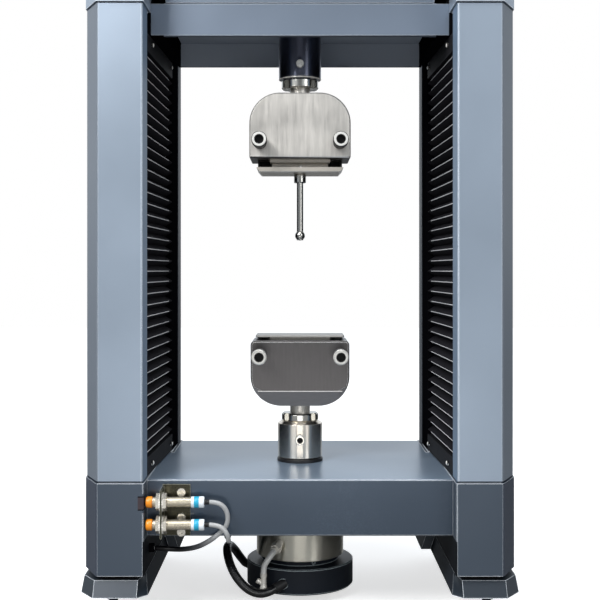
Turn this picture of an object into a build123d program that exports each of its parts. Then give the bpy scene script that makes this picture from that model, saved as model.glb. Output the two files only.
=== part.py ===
from build123d import *

import math
import os

# Table-top testing machine with two columns.
# Row frame: X to the right, Y to the rear, Z up. The load axis is X = 0, Y = 0,
# and the four levelling feet stand on Z = 0. All sizes are in millimetres.

os.makedirs("parts", exist_ok=True)

# ---------------------------------------------------------------- sizes
foot_height = 35.0
skid_top = 52.0
leg_bottom = 57.3
leg_top = 157.4
rim_height = 0.8
cover_bottom = leg_top + rim_height
cover_top = 677.4
head_bottom = cover_top + rim_height
head_top = 800.0
housing_wall = 7.0
cover_wall = 2.5

table_bottom = 94.6
table_top = 157.0
tongue_bottom = 98.0
tongue_top = 152.0
tongue_reach = 228.0
crown_bottom = 742.0
crown_top = 792.0
crown_tongue_bottom = 746.0
crown_tongue_top = 786.0

column_x = 205.0
rod_y = 72.0
rod_radius = 12.5
screw_radius = 10.0
journal_radius = 7.5
bearing_radius = 17.5
motor_x = 194.0
motor_y = 114.0
motor_side = 52.0
screw_pulley_radius = 24.0
motor_pulley_radius = 12.0

crosshead_bottom = 652.4
crosshead_top = 689.7
crosshead_front = -94.0
crosshead_ceiling = 682.0

toe_front = (170.3, -111.5)
toe_rear = (163.3, 69.5)
bar_depth = 8.0
fold_depth = 9.0
lower_folds = 36
upper_folds = 14
bar_height = 20.0

adapter_radius = 25.5
adapter_bottom = 618.0
stud_radius = 12.0
nut_radius = 22.3
running_gap = 0.05

upper_grip_bottom = 520.5
upper_grip_top = 597.8
lower_grip_bottom = 225.9
lower_grip_top = 303.9
grip_half_depth = 38.0
grip_arc = 36.6
jaw_half_width = 36.0
jaw_half_gap = 3.0
clamp_x = 47.3
upper_clamp_z = 538.8
lower_clamp_z = 287.1
clamp_collar = 20.0
clamp_head = 14.0
clamp_head_radius = 9.0
clamp_shank_radius = 5.95
plate_back = -16.0
anvil_bottom = 307.6
anvil_top = 309.8
body_front = -15.6

coupling_radius = 26.8
coupling_bottom = 161.3
coupling_top = 205.5
spindle_radius = 15.0

housing_radius = 52.5
disc_radius = 64.0
disc_bottom = 10.0
disc_top = 40.0

sensor_y = -144.0
sensor_upper_z = 135.9
sensor_lower_z = 111.3

sensor_cable_diameter = 5.2
power_cable_diameter = 10.0
signal_cable_diameter = 6.6


# ---------------------------------------------------------------- outlines
def parallel(points, gap, closed=False):
    """Points of the outline moved to the left of its direction by gap."""
    count = len(points)
    moved = []
    for i in range(count):
        lines = []
        for a, b in ((i - 1, i), (i, i + 1)):
            if not closed and (a < 0 or b >= count):
                continue
            p, q = points[a % count], points[b % count]
            dx, dy = q[0] - p[0], q[1] - p[1]
            size = math.hypot(dx, dy)
            dx, dy = dx / size, dy / size
            lines.append((points[i][0] - dy * gap, points[i][1] + dx * gap, dx, dy))
        if len(lines) == 1:
            moved.append((lines[0][0], lines[0][1]))
            continue
        (ax, ay, adx, ady), (bx, by, bdx, bdy) = lines
        cross = adx * bdy - ady * bdx
        t = ((bx - ax) * bdy - (by - ay) * bdx) / cross
        moved.append((ax + adx * t, ay + ady * t))
    return moved


def toe_x(y):
    """X of the visible bellows plane at a depth y."""
    share = (y - toe_front[1]) / (toe_rear[1] - toe_front[1])
    return toe_front[0] + share * (toe_rear[0] - toe_front[0])


def toe_bar(y0, y1, set_back=0.0, depth=bar_depth):
    return [
        (toe_x(y0) + set_back, y0),
        (toe_x(y0) + set_back + depth, y0),
        (toe_x(y1) + set_back + depth, y1),
        (toe_x(y1) + set_back, y1),
    ]


# Right-hand outlines, counter-clockwise, so that the inside is on the left.
front_cover_line = [
    (178.0, -112.0),
    (170.4, -112.0),
    (170.4, -150.0),
    (219.6, -150.0),
    (237.2, -112.0),
    (237.2, -0.3),
]
rear_cover_line = [
    (237.2, 0.3),
    (237.2, 112.0),
    (219.6, 150.0),
    (161.0, 150.0),
    (161.0, 118.0),
    (166.5, 118.0),
]
housing_line = [
    (168.6, -152.0),
    (220.2, -152.0),
    (239.0, -111.6),
    (239.0, 111.6),
    (220.2, 152.0),
    (159.0, 152.0),
    (159.0, 53.0),
    (168.6, 53.0),
]
table_line = [
    (-168.6, -126.0),
    (168.6, -126.0),
    (168.6, 53.0),
    (159.0, 53.0),
    (159.0, 150.0),
    (-159.0, 150.0),
    (-159.0, 53.0),
    (-168.6, 53.0),
]
skid_low_line = [
    (175.8, -157.0),
    (223.0, -157.0),
    (239.8, -132.6),
    (239.8, 132.6),
    (223.0, 157.0),
    (163.0, 157.0),
    (153.0, 145.0),
    (153.0, 52.0),
    (165.1, 52.0),
    (165.1, -145.0),
]
skid_high_line = [
    (175.4, -147.6),
    (222.8, -147.6),
    (237.5, -125.0),
    (237.5, 125.0),
    (222.8, 147.6),
    (166.0, 147.6),
    (159.0, 132.0),
    (159.0, 55.0),
    (171.0, 55.0),
    (171.0, -115.5),
]

# ---------------------------------------------------------------- frame
# The table beam: a thick cast plate between the legs, with a tongue at each end
# that lies inside the leg housing and carries rods, screws and motors.
with BuildPart() as table_beam:
    with BuildSketch(Plane.XY.offset(table_bottom)):
        with BuildLine():
            Polyline(*table_line, close=True)
        make_face()
    extrude(amount=table_top - table_bottom)
    chamfer(
        table_beam.edges()
        .filter_by(Axis.X)
        .group_by(Axis.Y)[0],
        1.2,
    )
    with BuildSketch(Plane.XY.offset(tongue_bottom)):
        with BuildLine():
            Polyline(
                (-tongue_reach, -110),
                (tongue_reach, -110),
                (tongue_reach, 112),
                (215.0, 140.5),
                (-215.0, 140.5),
                (-tongue_reach, 112),
                close=True,
            )
        make_face()
    extrude(amount=tongue_top - tongue_bottom)
    # spindle bore
    with BuildSketch(Plane.XY.offset(table_bottom)):
        Circle(16.0)
    extrude(amount=table_top - table_bottom, mode=Mode.SUBTRACT)
    # rod seats
    with BuildSketch(Plane.XY.offset(104)):
        with Locations(
            (column_x, rod_y), (column_x, -rod_y), (-column_x, rod_y), (-column_x, -rod_y)
        ):
            Circle(rod_radius)
    extrude(amount=60, mode=Mode.SUBTRACT)
    # screw bores with two bearing seats each
    with BuildSketch(Plane.XY.offset(tongue_bottom)):
        with Locations((column_x, 0), (-column_x, 0)):
            Circle(9.5)
    extrude(amount=60, mode=Mode.SUBTRACT)
    with BuildSketch(Plane.XY.offset(tongue_bottom)):
        with Locations((column_x, 0), (-column_x, 0)):
            Circle(bearing_radius)
    extrude(amount=12, mode=Mode.SUBTRACT)
    with BuildSketch(Plane.XY.offset(tongue_top - 12)):
        with Locations((column_x, 0), (-column_x, 0)):
            Circle(bearing_radius)
    extrude(amount=12, mode=Mode.SUBTRACT)
    # motor shaft holes
    with BuildSketch(Plane.XY.offset(tongue_bottom)):
        with Locations((motor_x, motor_y), (-motor_x, motor_y)):
            Circle(7.0)
    extrude(amount=60, mode=Mode.SUBTRACT)
    # clearance holes of the frame bolts
    with BuildSketch(Plane.XY.offset(tongue_bottom)):
        with Locations(
            *[
                (side * x, y)
                for side in (1, -1)
                for x, y in ((186, -98), (221, -98), (184, -44))
            ]
        ):
            Circle(5.0)
    extrude(amount=60, mode=Mode.SUBTRACT)

# Leg housings: deep castings, open at the top, with a floor and seats for the
# tongues. A thin rim carries the column covers and leaves a dark seam.
with BuildPart() as leg_housings:
    with BuildSketch(Plane.XY.offset(leg_bottom)):
        with BuildLine():
            Polyline(*housing_line, close=True)
        make_face()
    extrude(amount=leg_top - leg_bottom)
    chamfer(
        leg_housings.edges()
        .filter_by(Axis.Z)
        .filter_by_position(Axis.Y, -153, -100),
        1.3,
    )
    with BuildSketch(Plane.XY.offset(leg_top)):
        with BuildLine():
            Polyline(*parallel(housing_line, 3.2, True), close=True)
        make_face()
    extrude(amount=rim_height)
    with BuildSketch(Plane.XY.offset(leg_bottom + 8)):
        with BuildLine():
            Polyline(*parallel(housing_line, housing_wall, True), close=True)
        make_face()
    extrude(amount=110, mode=Mode.SUBTRACT)
    # seats under the tongue
    with BuildSketch(Plane.XY.offset(leg_bottom + 8)):
        with Locations((203.8, -73)):
            Rectangle(56.4, 78)
        with Locations((228, 80)):
            Rectangle(8, 50)
    extrude(amount=tongue_bottom - leg_bottom - 8)
    # window of the tongue in the inner wall
    with BuildSketch(Plane.XY.offset(tongue_bottom)):
        with Locations((165, 15.25)):
            Rectangle(30, 250.5)
    extrude(amount=tongue_top - tongue_bottom, mode=Mode.SUBTRACT)
    # bolt threads in the front seat
    with BuildSketch(Plane.XY.offset(tongue_bottom - 25)):
        with Locations((186, -98), (221, -98), (184, -44)):
            Circle(4.2)
    extrude(amount=25, mode=Mode.SUBTRACT)
    mirror(about=Plane.YZ)
    # notch for the sensor target, on the left leg's inner front corner
    with BuildSketch(Plane.XY.offset(128.2)):
        with Locations((-171.8, -145)):
            Rectangle(6.4, 15)
    extrude(amount=15.4, mode=Mode.SUBTRACT)

# Flared skids under the legs, running front to back
with BuildPart() as skid_feet:
    with BuildSketch(Plane.XY.offset(foot_height)):
        with BuildLine():
            Polyline(*skid_low_line, close=True)
        make_face()
    with BuildSketch(Plane.XY.offset(skid_top)):
        with BuildLine():
            Polyline(*skid_high_line, close=True)
        make_face()
    loft(ruled=True)
    mirror(about=Plane.YZ)
    with BuildSketch(Plane.XY.offset(foot_height)):
        with Locations(
            (column_x, 128), (column_x, -128), (-column_x, 128), (-column_x, -128)
        ):
            Circle(5.0)
    extrude(amount=14, mode=Mode.SUBTRACT)

# Dark rubber pads in the recess between skid and leg
with BuildPart() as isolation_pads:
    with BuildSketch(Plane.XY.offset(skid_top)):
        with BuildLine():
            Polyline(*parallel(housing_line, 9.0, True), close=True)
        make_face()
    extrude(amount=leg_bottom - skid_top)
    mirror(about=Plane.YZ)

# Levelling feet: a pad, a threaded stem and a jam nut each
with BuildPart() as levelling_feet:
    with BuildSketch(Plane.XZ) as foot_section:
        with BuildLine():
            Polyline(
                (0, 0),
                (17, 0),
                (18, 1),
                (18, 5),
                (9, 12),
                (7, 12),
                (7, 16),
                (5, 16),
                (5, foot_height + 13),
                (0, foot_height + 13),
                close=True,
            )
        make_face()
    revolve(axis=Axis.Z)
    with BuildSketch(Plane.XY.offset(foot_height - 7)):
        RegularPolygon(9.8, 6)
    extrude(amount=7)

foot_solid = levelling_feet.part
with BuildPart() as levelling_feet:
    with Locations(
        (column_x, 128, 0),
        (column_x, -128, 0),
        (-column_x, 128, 0),
        (-column_x, -128, 0),
    ):
        add(foot_solid)

# Column covers: thin extrusions with a bevelled outer front corner
with BuildPart() as front_covers:
    with BuildSketch(Plane.XY.offset(cover_bottom)):
        with BuildLine():
            Polyline(
                *(front_cover_line + parallel(front_cover_line, cover_wall)[::-1]),
                close=True,
            )
        make_face()
    extrude(amount=cover_top - cover_bottom)
    chamfer(
        front_covers.edges()
        .filter_by(Axis.Z)
        .filter_by(lambda e: abs(e.center().Y + 150) < 0.1),
        1.2,
    )
    mirror(about=Plane.YZ)

with BuildPart() as rear_covers:
    with BuildSketch(Plane.XY.offset(cover_bottom)):
        with BuildLine():
            Polyline(
                *(rear_cover_line + parallel(rear_cover_line, cover_wall)[::-1]),
                close=True,
            )
        make_face()
    extrude(amount=cover_top - cover_bottom)
    chamfer(
        rear_covers.edges()
        .filter_by(Axis.Z)
        .filter_by(lambda e: abs(e.center().Y - 150) < 0.1),
        1.2,
    )
    mirror(about=Plane.YZ)

# Head housings: the same outline as the legs, closed at the top, with a slot
# for the crosshead and a window for the crown's tongue
with BuildPart() as head_housings:
    with BuildSketch(Plane.XY.offset(head_bottom)):
        with BuildLine():
            Polyline(*housing_line, close=True)
        make_face()
    extrude(amount=head_top - 5 - head_bottom)
    chamfer(
        head_housings.edges()
        .filter_by(Axis.Z)
        .filter_by_position(Axis.Y, -153, -100),
        1.3,
    )
    with BuildSketch(Plane.XY.offset(head_top - 5)):
        with BuildLine():
            Polyline(*parallel(housing_line, 0.4, True), close=True)
        make_face()
    with BuildSketch(Plane.XY.offset(head_top)):
        with BuildLine():
            Polyline(*parallel(housing_line, 5.4, True), close=True)
        make_face()
    loft(ruled=True)
    with BuildSketch(Plane.XY.offset(cover_top)):
        with BuildLine():
            Polyline(*parallel(housing_line, 3.2, True), close=True)
        make_face()
    extrude(amount=rim_height)
    with BuildSketch(Plane.XY.offset(cover_top)):
        with BuildLine():
            Polyline(*parallel(housing_line, housing_wall, True), close=True)
        make_face()
    extrude(amount=head_top - 8 - cover_top, mode=Mode.SUBTRACT)
    # slot of the moving crosshead
    with BuildSketch(Plane.XY.offset(cover_top)):
        with Locations((165, (-95.5 + 68) / 2)):
            Rectangle(30, 68 + 95.5)
    extrude(amount=crown_bottom - cover_top, mode=Mode.SUBTRACT)
    # window of the crown's tongue
    with BuildSketch(Plane.XY.offset(crown_tongue_bottom)):
        with Locations((165, 0)):
            Rectangle(30, 220)
    extrude(amount=crown_tongue_top - crown_tongue_bottom, mode=Mode.SUBTRACT)
    mirror(about=Plane.YZ)

# Fixed crown beam that ties the column heads together
with BuildPart() as crown_beam:
    with BuildSketch(Plane.XY.offset(crown_bottom)):
        with BuildLine():
            Polyline(*table_line, close=True)
        make_face()
    extrude(amount=crown_top - crown_bottom)
    chamfer(
        crown_beam.edges().filter_by(Axis.X).group_by(Axis.Y)[0],
        1.2,
    )
    with BuildSketch(Plane.XY.offset(crown_tongue_bottom)):
        Rectangle(2 * tongue_reach, 220)
    extrude(amount=crown_tongue_top - crown_tongue_bottom)
    with BuildSketch(Plane.XY.offset(crown_tongue_bottom)):
        with Locations(
            (column_x, rod_y), (column_x, -rod_y), (-column_x, rod_y), (-column_x, -rod_y)
        ):
            Circle(rod_radius)
    extrude(amount=36, mode=Mode.SUBTRACT)
    with BuildSketch(Plane.XY.offset(crown_tongue_bottom)):
        with Locations((column_x, 0), (-column_x, 0)):
            Circle(9.5)
    extrude(amount=36, mode=Mode.SUBTRACT)
    with BuildSketch(Plane.XY.offset(crown_tongue_bottom)):
        with Locations((column_x, 0), (-column_x, 0)):
            Circle(bearing_radius)
    extrude(amount=12, mode=Mode.SUBTRACT)

# Guide rods, two in each column, seated in the table and the crown
with BuildPart() as guide_rods:
    with BuildSketch(Plane.XY.offset(104)):
        with Locations(
            (column_x, rod_y), (column_x, -rod_y), (-column_x, rod_y), (-column_x, -rod_y)
        ):
            Circle(rod_radius)
    extrude(amount=crown_tongue_bottom + 36 - 104)

# Bolts that hold the tongues down on the leg seats
with BuildPart() as frame_bolt:
    with BuildSketch(Plane.XY.offset(tongue_bottom - 24)):
        Circle(4.2)
    extrude(amount=tongue_top - tongue_bottom + 24)
    with BuildSketch(Plane.XY.offset(tongue_top)):
        Circle(8.0)
        RegularPolygon(4.6, 6, mode=Mode.SUBTRACT)
    extrude(amount=10)
    with BuildSketch(Plane.XY.offset(tongue_top)):
        Circle(8.0)
    extrude(amount=4)

with BuildPart() as frame_bolts:
    with Locations(
        *[
            (side * x, y, 0)
            for side in (1, -1)
            for x, y in ((186, -98), (221, -98), (184, -44))
        ]
    ):
        add(frame_bolt.part)

# ---------------------------------------------------------------- drive
# Ball screws with their toothed pulleys, one in each column
screw_line = [
    (0, 66),
    (journal_radius - 0.8, 66),
    (journal_radius, 66.8),
    (journal_radius, tongue_top + 0.6),
    (screw_radius, tongue_top + 0.6),
    (screw_radius, crown_tongue_bottom - 5),
    (journal_radius, crown_tongue_bottom - 5),
    (journal_radius, crown_tongue_bottom + 14),
    (0, crown_tongue_bottom + 14),
]
pulley_line = [
    (journal_radius, 68.5),
    (26.0, 68.5),
    (26.0, 70.0),
    (screw_pulley_radius, 70.0),
    (screw_pulley_radius, 84.0),
    (26.0, 84.0),
    (26.0, 85.5),
    (13.0, 85.5),
    (13.0, 92.0),
    (journal_radius, 92.0),
]
with BuildPart() as ball_screw:
    with BuildSketch(Plane.XZ):
        with BuildLine():
            Polyline(*screw_line, close=True)
        make_face()
    revolve(axis=Axis.Z)

with BuildPart() as screw_pulley:
    with BuildSketch(Plane.XZ):
        with BuildLine():
            Polyline(*pulley_line, close=True)
        make_face()
    revolve(axis=Axis.Z)

ball_screw_right = Compound(
    children=[
        Pos(column_x, 0, 0) * ball_screw.part.solid(),
        Pos(column_x, 0, 0) * screw_pulley.part.solid(),
    ]
)
ball_screw_left = Compound(
    children=[
        Pos(-column_x, 0, 0) * ball_screw.part.solid(),
        Pos(-column_x, 0, 0) * screw_pulley.part.solid(),
    ]
)

# Motor shaft with its small pulley
with BuildPart() as motor_pulley:
    with BuildSketch(Plane.XZ):
        with BuildLine():
            Polyline(
                (0, 67.5),
                (14.0, 67.5),
                (14.0, 69.5),
                (motor_pulley_radius, 69.5),
                (motor_pulley_radius, 84.5),
                (14.0, 84.5),
                (14.0, 86.5),
                (4.0, 86.5),
                (4.0, tongue_top + 9),
                (0, tongue_top + 9),
                close=True,
            )
        make_face()
    revolve(axis=Axis.Z)

motor_pulley_right = Pos(motor_x, motor_y, 0) * motor_pulley.part
motor_pulley_left = Pos(-motor_x, motor_y, 0) * motor_pulley.part

# Servomotors, standing on the tongues behind the screws
with BuildPart() as drive_motors:
    with BuildSketch(Plane.XY.offset(tongue_top)):
        with Locations((motor_x, motor_y)):
            Rectangle(motor_side, motor_side)
    extrude(amount=8)
    with BuildSketch(Plane.XY.offset(tongue_top + 8)):
        with Locations((motor_x, motor_y)):
            RectangleRounded(motor_side - 4, motor_side - 4, 6)
    extrude(amount=58)
    with BuildSketch(Plane.XY.offset(tongue_top + 66)):
        with Locations((motor_x, motor_y)):
            RectangleRounded(motor_side - 10, motor_side - 10, 5)
    extrude(amount=16)
    chamfer(
        drive_motors.edges()
        .filter_by(Axis.Z)
        .filter_by_position(Axis.Z, tongue_top, tongue_top + 8),
        4.5,
    )
    with BuildSketch(Plane.XY.offset(tongue_top)):
        with Locations((motor_x, motor_y)):
            Circle(4.3)
    extrude(amount=11, mode=Mode.SUBTRACT)
    mirror(about=Plane.YZ)

# Toothed belts between motor and screw
with BuildPart() as drive_belts:
    with BuildSketch(Plane.XY.offset(71)):
        with Locations((column_x, 0)):
            Circle(screw_pulley_radius + 1.9)
        with Locations((motor_x, motor_y)):
            Circle(motor_pulley_radius + 1.9)
        make_hull()
        with BuildSketch(Plane.XY, mode=Mode.PRIVATE) as belt_inside:
            with Locations((column_x, 0)):
                Circle(screw_pulley_radius + 0.2)
            with Locations((motor_x, motor_y)):
                Circle(motor_pulley_radius + 0.2)
            make_hull()
        add(belt_inside.sketch, mode=Mode.SUBTRACT)
    extrude(amount=12)
    mirror(about=Plane.YZ)

# Bearings: two under each screw, one above it, two round the lower spindle
bearing_spots = (
    [(s * column_x, 0, z, journal_radius, bearing_radius) for s in (1, -1) for z in
     (tongue_bottom, tongue_top - 12, crown_tongue_bottom)]
    + [(0, 0, z, spindle_radius, 28.0) for z in (50.0, 80.0)]
)
with BuildPart() as bearings:
    for x, y, z, inner, outer in bearing_spots:
        with BuildSketch(Plane.XY.offset(z)):
            with Locations((x, y)):
                Circle(outer)
                Circle(inner + running_gap, mode=Mode.SUBTRACT)
        extrude(amount=12)

# ---------------------------------------------------------------- bellows
lower_bellows_start = cover_bottom + bar_height
lower_bellows_end = crosshead_bottom - bar_height
upper_bellows_start = crosshead_top + 6
upper_bellows_end = crown_bottom - 6


def fold_profile(start, end, folds, web):
    """Zigzag section in (depth, height): tips at depth 0, roots at fold_depth."""
    step = (end - start) / (2 * folds)
    line = [(fold_depth if i % 2 == 0 else 0.0, start + i * step) for i in range(2 * folds + 1)]
    return line + [(d + web, z) for d, z in reversed(line)]


toe_angle = math.degrees(
    math.atan2(toe_front[0] - toe_rear[0], toe_rear[1] - toe_front[1])
)
toe_length = math.dist(toe_front, toe_rear)
# The plane's first axis points into the column, its normal runs along the bellows
fold_plane = Plane(
    origin=(toe_front[0], toe_front[1], 0),
    x_dir=(math.cos(math.radians(toe_angle)), math.sin(math.radians(toe_angle)), 0),
    z_dir=(math.sin(math.radians(toe_angle)), -math.cos(math.radians(toe_angle)), 0),
)
with BuildPart() as lower_bellows:
    with BuildSketch(fold_plane.offset(-1.0)):
        with BuildLine():
            Polyline(
                *fold_profile(lower_bellows_start, lower_bellows_end, lower_folds, 1.4),
                close=True,
            )
        make_face()
    extrude(amount=-(toe_length - 2.0))
    mirror(about=Plane.YZ)

with BuildPart() as upper_bellows:
    with BuildSketch(fold_plane.offset(-20.0)):
        with BuildLine():
            Polyline(
                *fold_profile(upper_bellows_start, upper_bellows_end, upper_folds, 1.4),
                close=True,
            )
        make_face()
    extrude(amount=-(toe_length - 28.0))
    mirror(about=Plane.YZ)


# Fixed frame of the bellows: bars on the table and under the crown, the slot's
# rear channel, and the bars' screws
with BuildPart() as bellows_frames:
    with BuildSketch(Plane.XY.offset(cover_bottom)):
        with BuildLine():
            Polyline(*toe_bar(-110.8, 69.2), close=True)
        make_face()
    extrude(amount=bar_height)
    with BuildSketch(Plane.XY.offset(crown_bottom - 6)):
        with BuildLine():
            Polyline(*toe_bar(-91.0, 61.0), close=True)
        make_face()
    extrude(amount=6)
    with BuildSketch(Plane.XY.offset(cover_bottom)):
        with BuildLine():
            Polyline(
                (163.0, 70.8),
                (176.0, 70.8),
                (176.0, 72.8),
                (165.0, 72.8),
                (163.8, 117.8),
                (161.8, 117.8),
                close=True,
            )
        make_face()
    extrude(amount=cover_top - cover_bottom)
    for y in (-82.0, 57.0):
        with BuildSketch(Plane.YZ.offset(toe_x(y) - 1.6)):
            with Locations((y, cover_bottom + 9.5)):
                Circle(3.0)
        extrude(amount=3.0)
        with BuildSketch(Plane.YZ.offset(toe_x(y) - 1.6)):
            with Locations((y, cover_bottom + 9.5)):
                RegularPolygon(1.7, 6)
        extrude(amount=1.0, mode=Mode.SUBTRACT)
    mirror(about=Plane.YZ)

# The same bars on the crosshead
with BuildPart() as bellows_bars:
    with BuildSketch(Plane.XY.offset(crosshead_bottom - bar_height)):
        with BuildLine():
            Polyline(*toe_bar(-110.8, 69.2), close=True)
        make_face()
    extrude(amount=bar_height)
    with BuildSketch(Plane.XY.offset(crosshead_top)):
        with BuildLine():
            Polyline(*toe_bar(-91.0, 61.0), close=True)
        make_face()
    extrude(amount=6)
    for y in (-82.0, 57.0):
        with BuildSketch(Plane.YZ.offset(toe_x(y) - 1.6)):
            with Locations((y, crosshead_bottom - 8.0)):
                Circle(3.0)
        extrude(amount=3.0)
        with BuildSketch(Plane.YZ.offset(toe_x(y) - 1.6)):
            with Locations((y, crosshead_bottom - 8.0)):
                RegularPolygon(1.7, 6)
        extrude(amount=1.0, mode=Mode.SUBTRACT)
    mirror(about=Plane.YZ)

# ---------------------------------------------------------------- crosshead
crosshead_line = [
    (158.0, crosshead_front),
    (183.0, crosshead_front),
    (183.0, -100.0),
    (229.0, -100.0),
    (229.0, 100.0),
    (183.0, 100.0),
    (183.0, 62.0),
    (158.0, 62.0),
    (158.0, 100.0),
]
with BuildPart() as crosshead_beam:
    with BuildSketch(Plane.XY.offset(crosshead_bottom)):
        with BuildLine():
            Polyline(
                *(crosshead_line + [(-x, y) for x, y in reversed(crosshead_line)]),
                close=True,
            )
        make_face()
    extrude(amount=crosshead_top - crosshead_bottom)
    chamfer(
        crosshead_beam.edges()
        .filter_by(Axis.X)
        .filter_by(lambda e: abs(e.center().Y - crosshead_front) < 0.1 and e.length > 200),
        1.0,
    )
    # open underside: front and rear plates, end blocks and a top plate stay
    with BuildSketch(Plane.XY.offset(crosshead_bottom)):
        with Locations((0, 3)):
            Rectangle(2 * 155, 182)
    extrude(amount=crosshead_ceiling - crosshead_bottom, mode=Mode.SUBTRACT)
    with BuildSketch(Plane.XY.offset(crosshead_bottom)):
        Circle(13.5)
        with Locations((column_x, 0), (-column_x, 0)):
            Circle(18.0)
        with Locations(
            (column_x, rod_y), (column_x, -rod_y), (-column_x, rod_y), (-column_x, -rod_y)
        ):
            Circle(19.0)
    extrude(amount=crosshead_top - crosshead_bottom, mode=Mode.SUBTRACT)

# Sheet cover over the load cell
with BuildPart() as crosshead_cover:
    with BuildSketch(Plane.XY.offset(crosshead_top + 0.5)):
        with Locations((0, 2)):
            Rectangle(304, 192)
    extrude(amount=46)
    chamfer(
        crosshead_cover.edges()
        .filter_by(Axis.X)
        .filter_by(lambda e: e.center().Y < -90 and e.center().Z > 700),
        6,
    )
    with BuildSketch(Plane.XY.offset(crosshead_top + 0.5)):
        with Locations((0, 2)):
            Rectangle(300, 188)
    extrude(amount=38, mode=Mode.SUBTRACT)

# Flat load cell on the crosshead, with its nut
with BuildPart() as load_cell:
    with BuildSketch(Plane.XZ):
        with BuildLine():
            Polyline(
                (stud_radius, crosshead_top + 2),
                (20, crosshead_top + 2),
                (20, crosshead_top + 6),
                (38, crosshead_top + 6),
                (38, crosshead_top),
                (48, crosshead_top),
                (50, crosshead_top + 2),
                (50, crosshead_top + 22),
                (48, crosshead_top + 24),
                (38, crosshead_top + 24),
                (38, crosshead_top + 18),
                (20, crosshead_top + 18),
                (20, crosshead_top + 24),
                (stud_radius, crosshead_top + 24),
                close=True,
            )
        make_face()
    revolve(axis=Axis.Z)
    with BuildSketch(Plane.XY.offset(crosshead_top + 24)):
        RegularPolygon(19, 6)
        Circle(stud_radius, mode=Mode.SUBTRACT)
    extrude(amount=11)

# Ball nuts with flanges on top of the crosshead
with BuildPart() as ball_nuts:
    with BuildSketch(Plane.XZ):
        with BuildLine():
            Polyline(
                (screw_radius + running_gap, crosshead_bottom - 7),
                (18.0, crosshead_bottom - 7),
                (18.0, crosshead_top),
                (27.0, crosshead_top),
                (27.0, crosshead_top + 9),
                (screw_radius + running_gap, crosshead_top + 9),
                close=True,
            )
        make_face()
    revolve(axis=Axis.Z)
ball_nut_solid = ball_nuts.part
with BuildPart() as ball_nuts:
    with Locations((column_x, 0, 0), (-column_x, 0, 0)):
        add(ball_nut_solid)

# Linear bushes on the guide rods
with BuildPart() as guide_bush:
    with BuildSketch(Plane.XZ):
        with BuildLine():
            Polyline(
                (rod_radius + running_gap, crosshead_bottom - 6),
                (19.0, crosshead_bottom - 6),
                (19.0, crosshead_top),
                (22.5, crosshead_top),
                (22.5, crosshead_top + 5),
                (19.0, crosshead_top + 5),
                (19.0, crosshead_top + 16),
                (rod_radius + running_gap, crosshead_top + 16),
                close=True,
            )
        make_face()
    revolve(axis=Axis.Z)
with BuildPart() as guide_bushes:
    with Locations(
        (column_x, rod_y, 0),
        (column_x, -rod_y, 0),
        (-column_x, rod_y, 0),
        (-column_x, -rod_y, 0),
    ):
        add(guide_bush.part)

# ---------------------------------------------------------------- upper string
upper_pin_z = 632.8
with BuildPart() as upper_adapter:
    with BuildSketch(Plane.XZ):
        with BuildLine():
            Polyline(
                (0, 648),
                (stud_radius + 0.02, 648),
                (stud_radius + 0.02, adapter_bottom),
                (adapter_radius - 2.4, adapter_bottom),
                (adapter_radius - 0.4, adapter_bottom + 1.4),
                (adapter_radius, adapter_bottom + 2.4),
                (adapter_radius, crosshead_ceiling - 0.4),
                (stud_radius, crosshead_ceiling - 0.4),
                (stud_radius, crosshead_top + 38),
                (0, crosshead_top + 38),
                close=True,
            )
        make_face()
    revolve(axis=Axis.Z)
    with BuildSketch(Plane.XZ.offset(-30)):
        with Locations((0, upper_pin_z)):
            Circle(4.0 + running_gap)
    extrude(amount=60, mode=Mode.SUBTRACT)

with BuildPart() as upper_stud:
    with BuildSketch(Plane.XY.offset(578)):
        Circle(stud_radius)
    extrude(amount=646 - 578)
    chamfer(upper_stud.faces().sort_by(Axis.Z)[-1].edges(), 1.0)
    with BuildSketch(Plane.XZ.offset(-30)):
        with Locations((0, upper_pin_z)):
            Circle(4.0 + running_gap)
    extrude(amount=60, mode=Mode.SUBTRACT)


def slotted_nut(bottom, height, radius):
    """Round lock nut with four spanner slots and bevelled rims."""
    with BuildPart() as nut:
        with BuildSketch(Plane.XY.offset(bottom)):
            Circle(radius)
            Circle(stud_radius + running_gap, mode=Mode.SUBTRACT)
        extrude(amount=height)
        chamfer(
            nut.edges().filter_by(GeomType.CIRCLE).filter_by(lambda e: e.radius > 20),
            1.6,
        )
        with BuildSketch(Plane.XY.offset(bottom)):
            with PolarLocations(radius, 4, 45):
                Rectangle(7.5, 8.0)
        extrude(amount=height, mode=Mode.SUBTRACT)
    return nut.part


upper_locknut = slotted_nut(606.7, adapter_bottom - 606.7, nut_radius)
lower_locknut = slotted_nut(coupling_top, 9.6, nut_radius)


def cross_screw(height, reach, head_radius, head_length, bore_end):
    """Locking screw along Y, head towards the front."""
    with BuildPart() as screw:
        with BuildSketch(Plane.XZ.offset(reach)):
            with Locations((0, height)):
                Circle(head_radius)
        extrude(amount=head_length)
        chamfer(screw.faces().sort_by(Axis.Y)[0].edges(), 0.8)
        with BuildSketch(Plane.XZ.offset(reach + head_length)):
            with Locations((0, height)):
                RegularPolygon(head_radius * 0.55, 6)
        extrude(amount=-head_length * 0.6, mode=Mode.SUBTRACT)
        with BuildSketch(Plane.XZ.offset(-bore_end)):
            with Locations((0, height)):
                Circle(4.0)
        extrude(amount=reach + bore_end)
    return screw.part


upper_cross_screw = cross_screw(upper_pin_z, 26.0, 5.0, 7.0, 22.0)
lower_pin_z = 185.4
lower_cross_screw = cross_screw(lower_pin_z, 27.2, 6.0, 5.0, 22.0)


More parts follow.
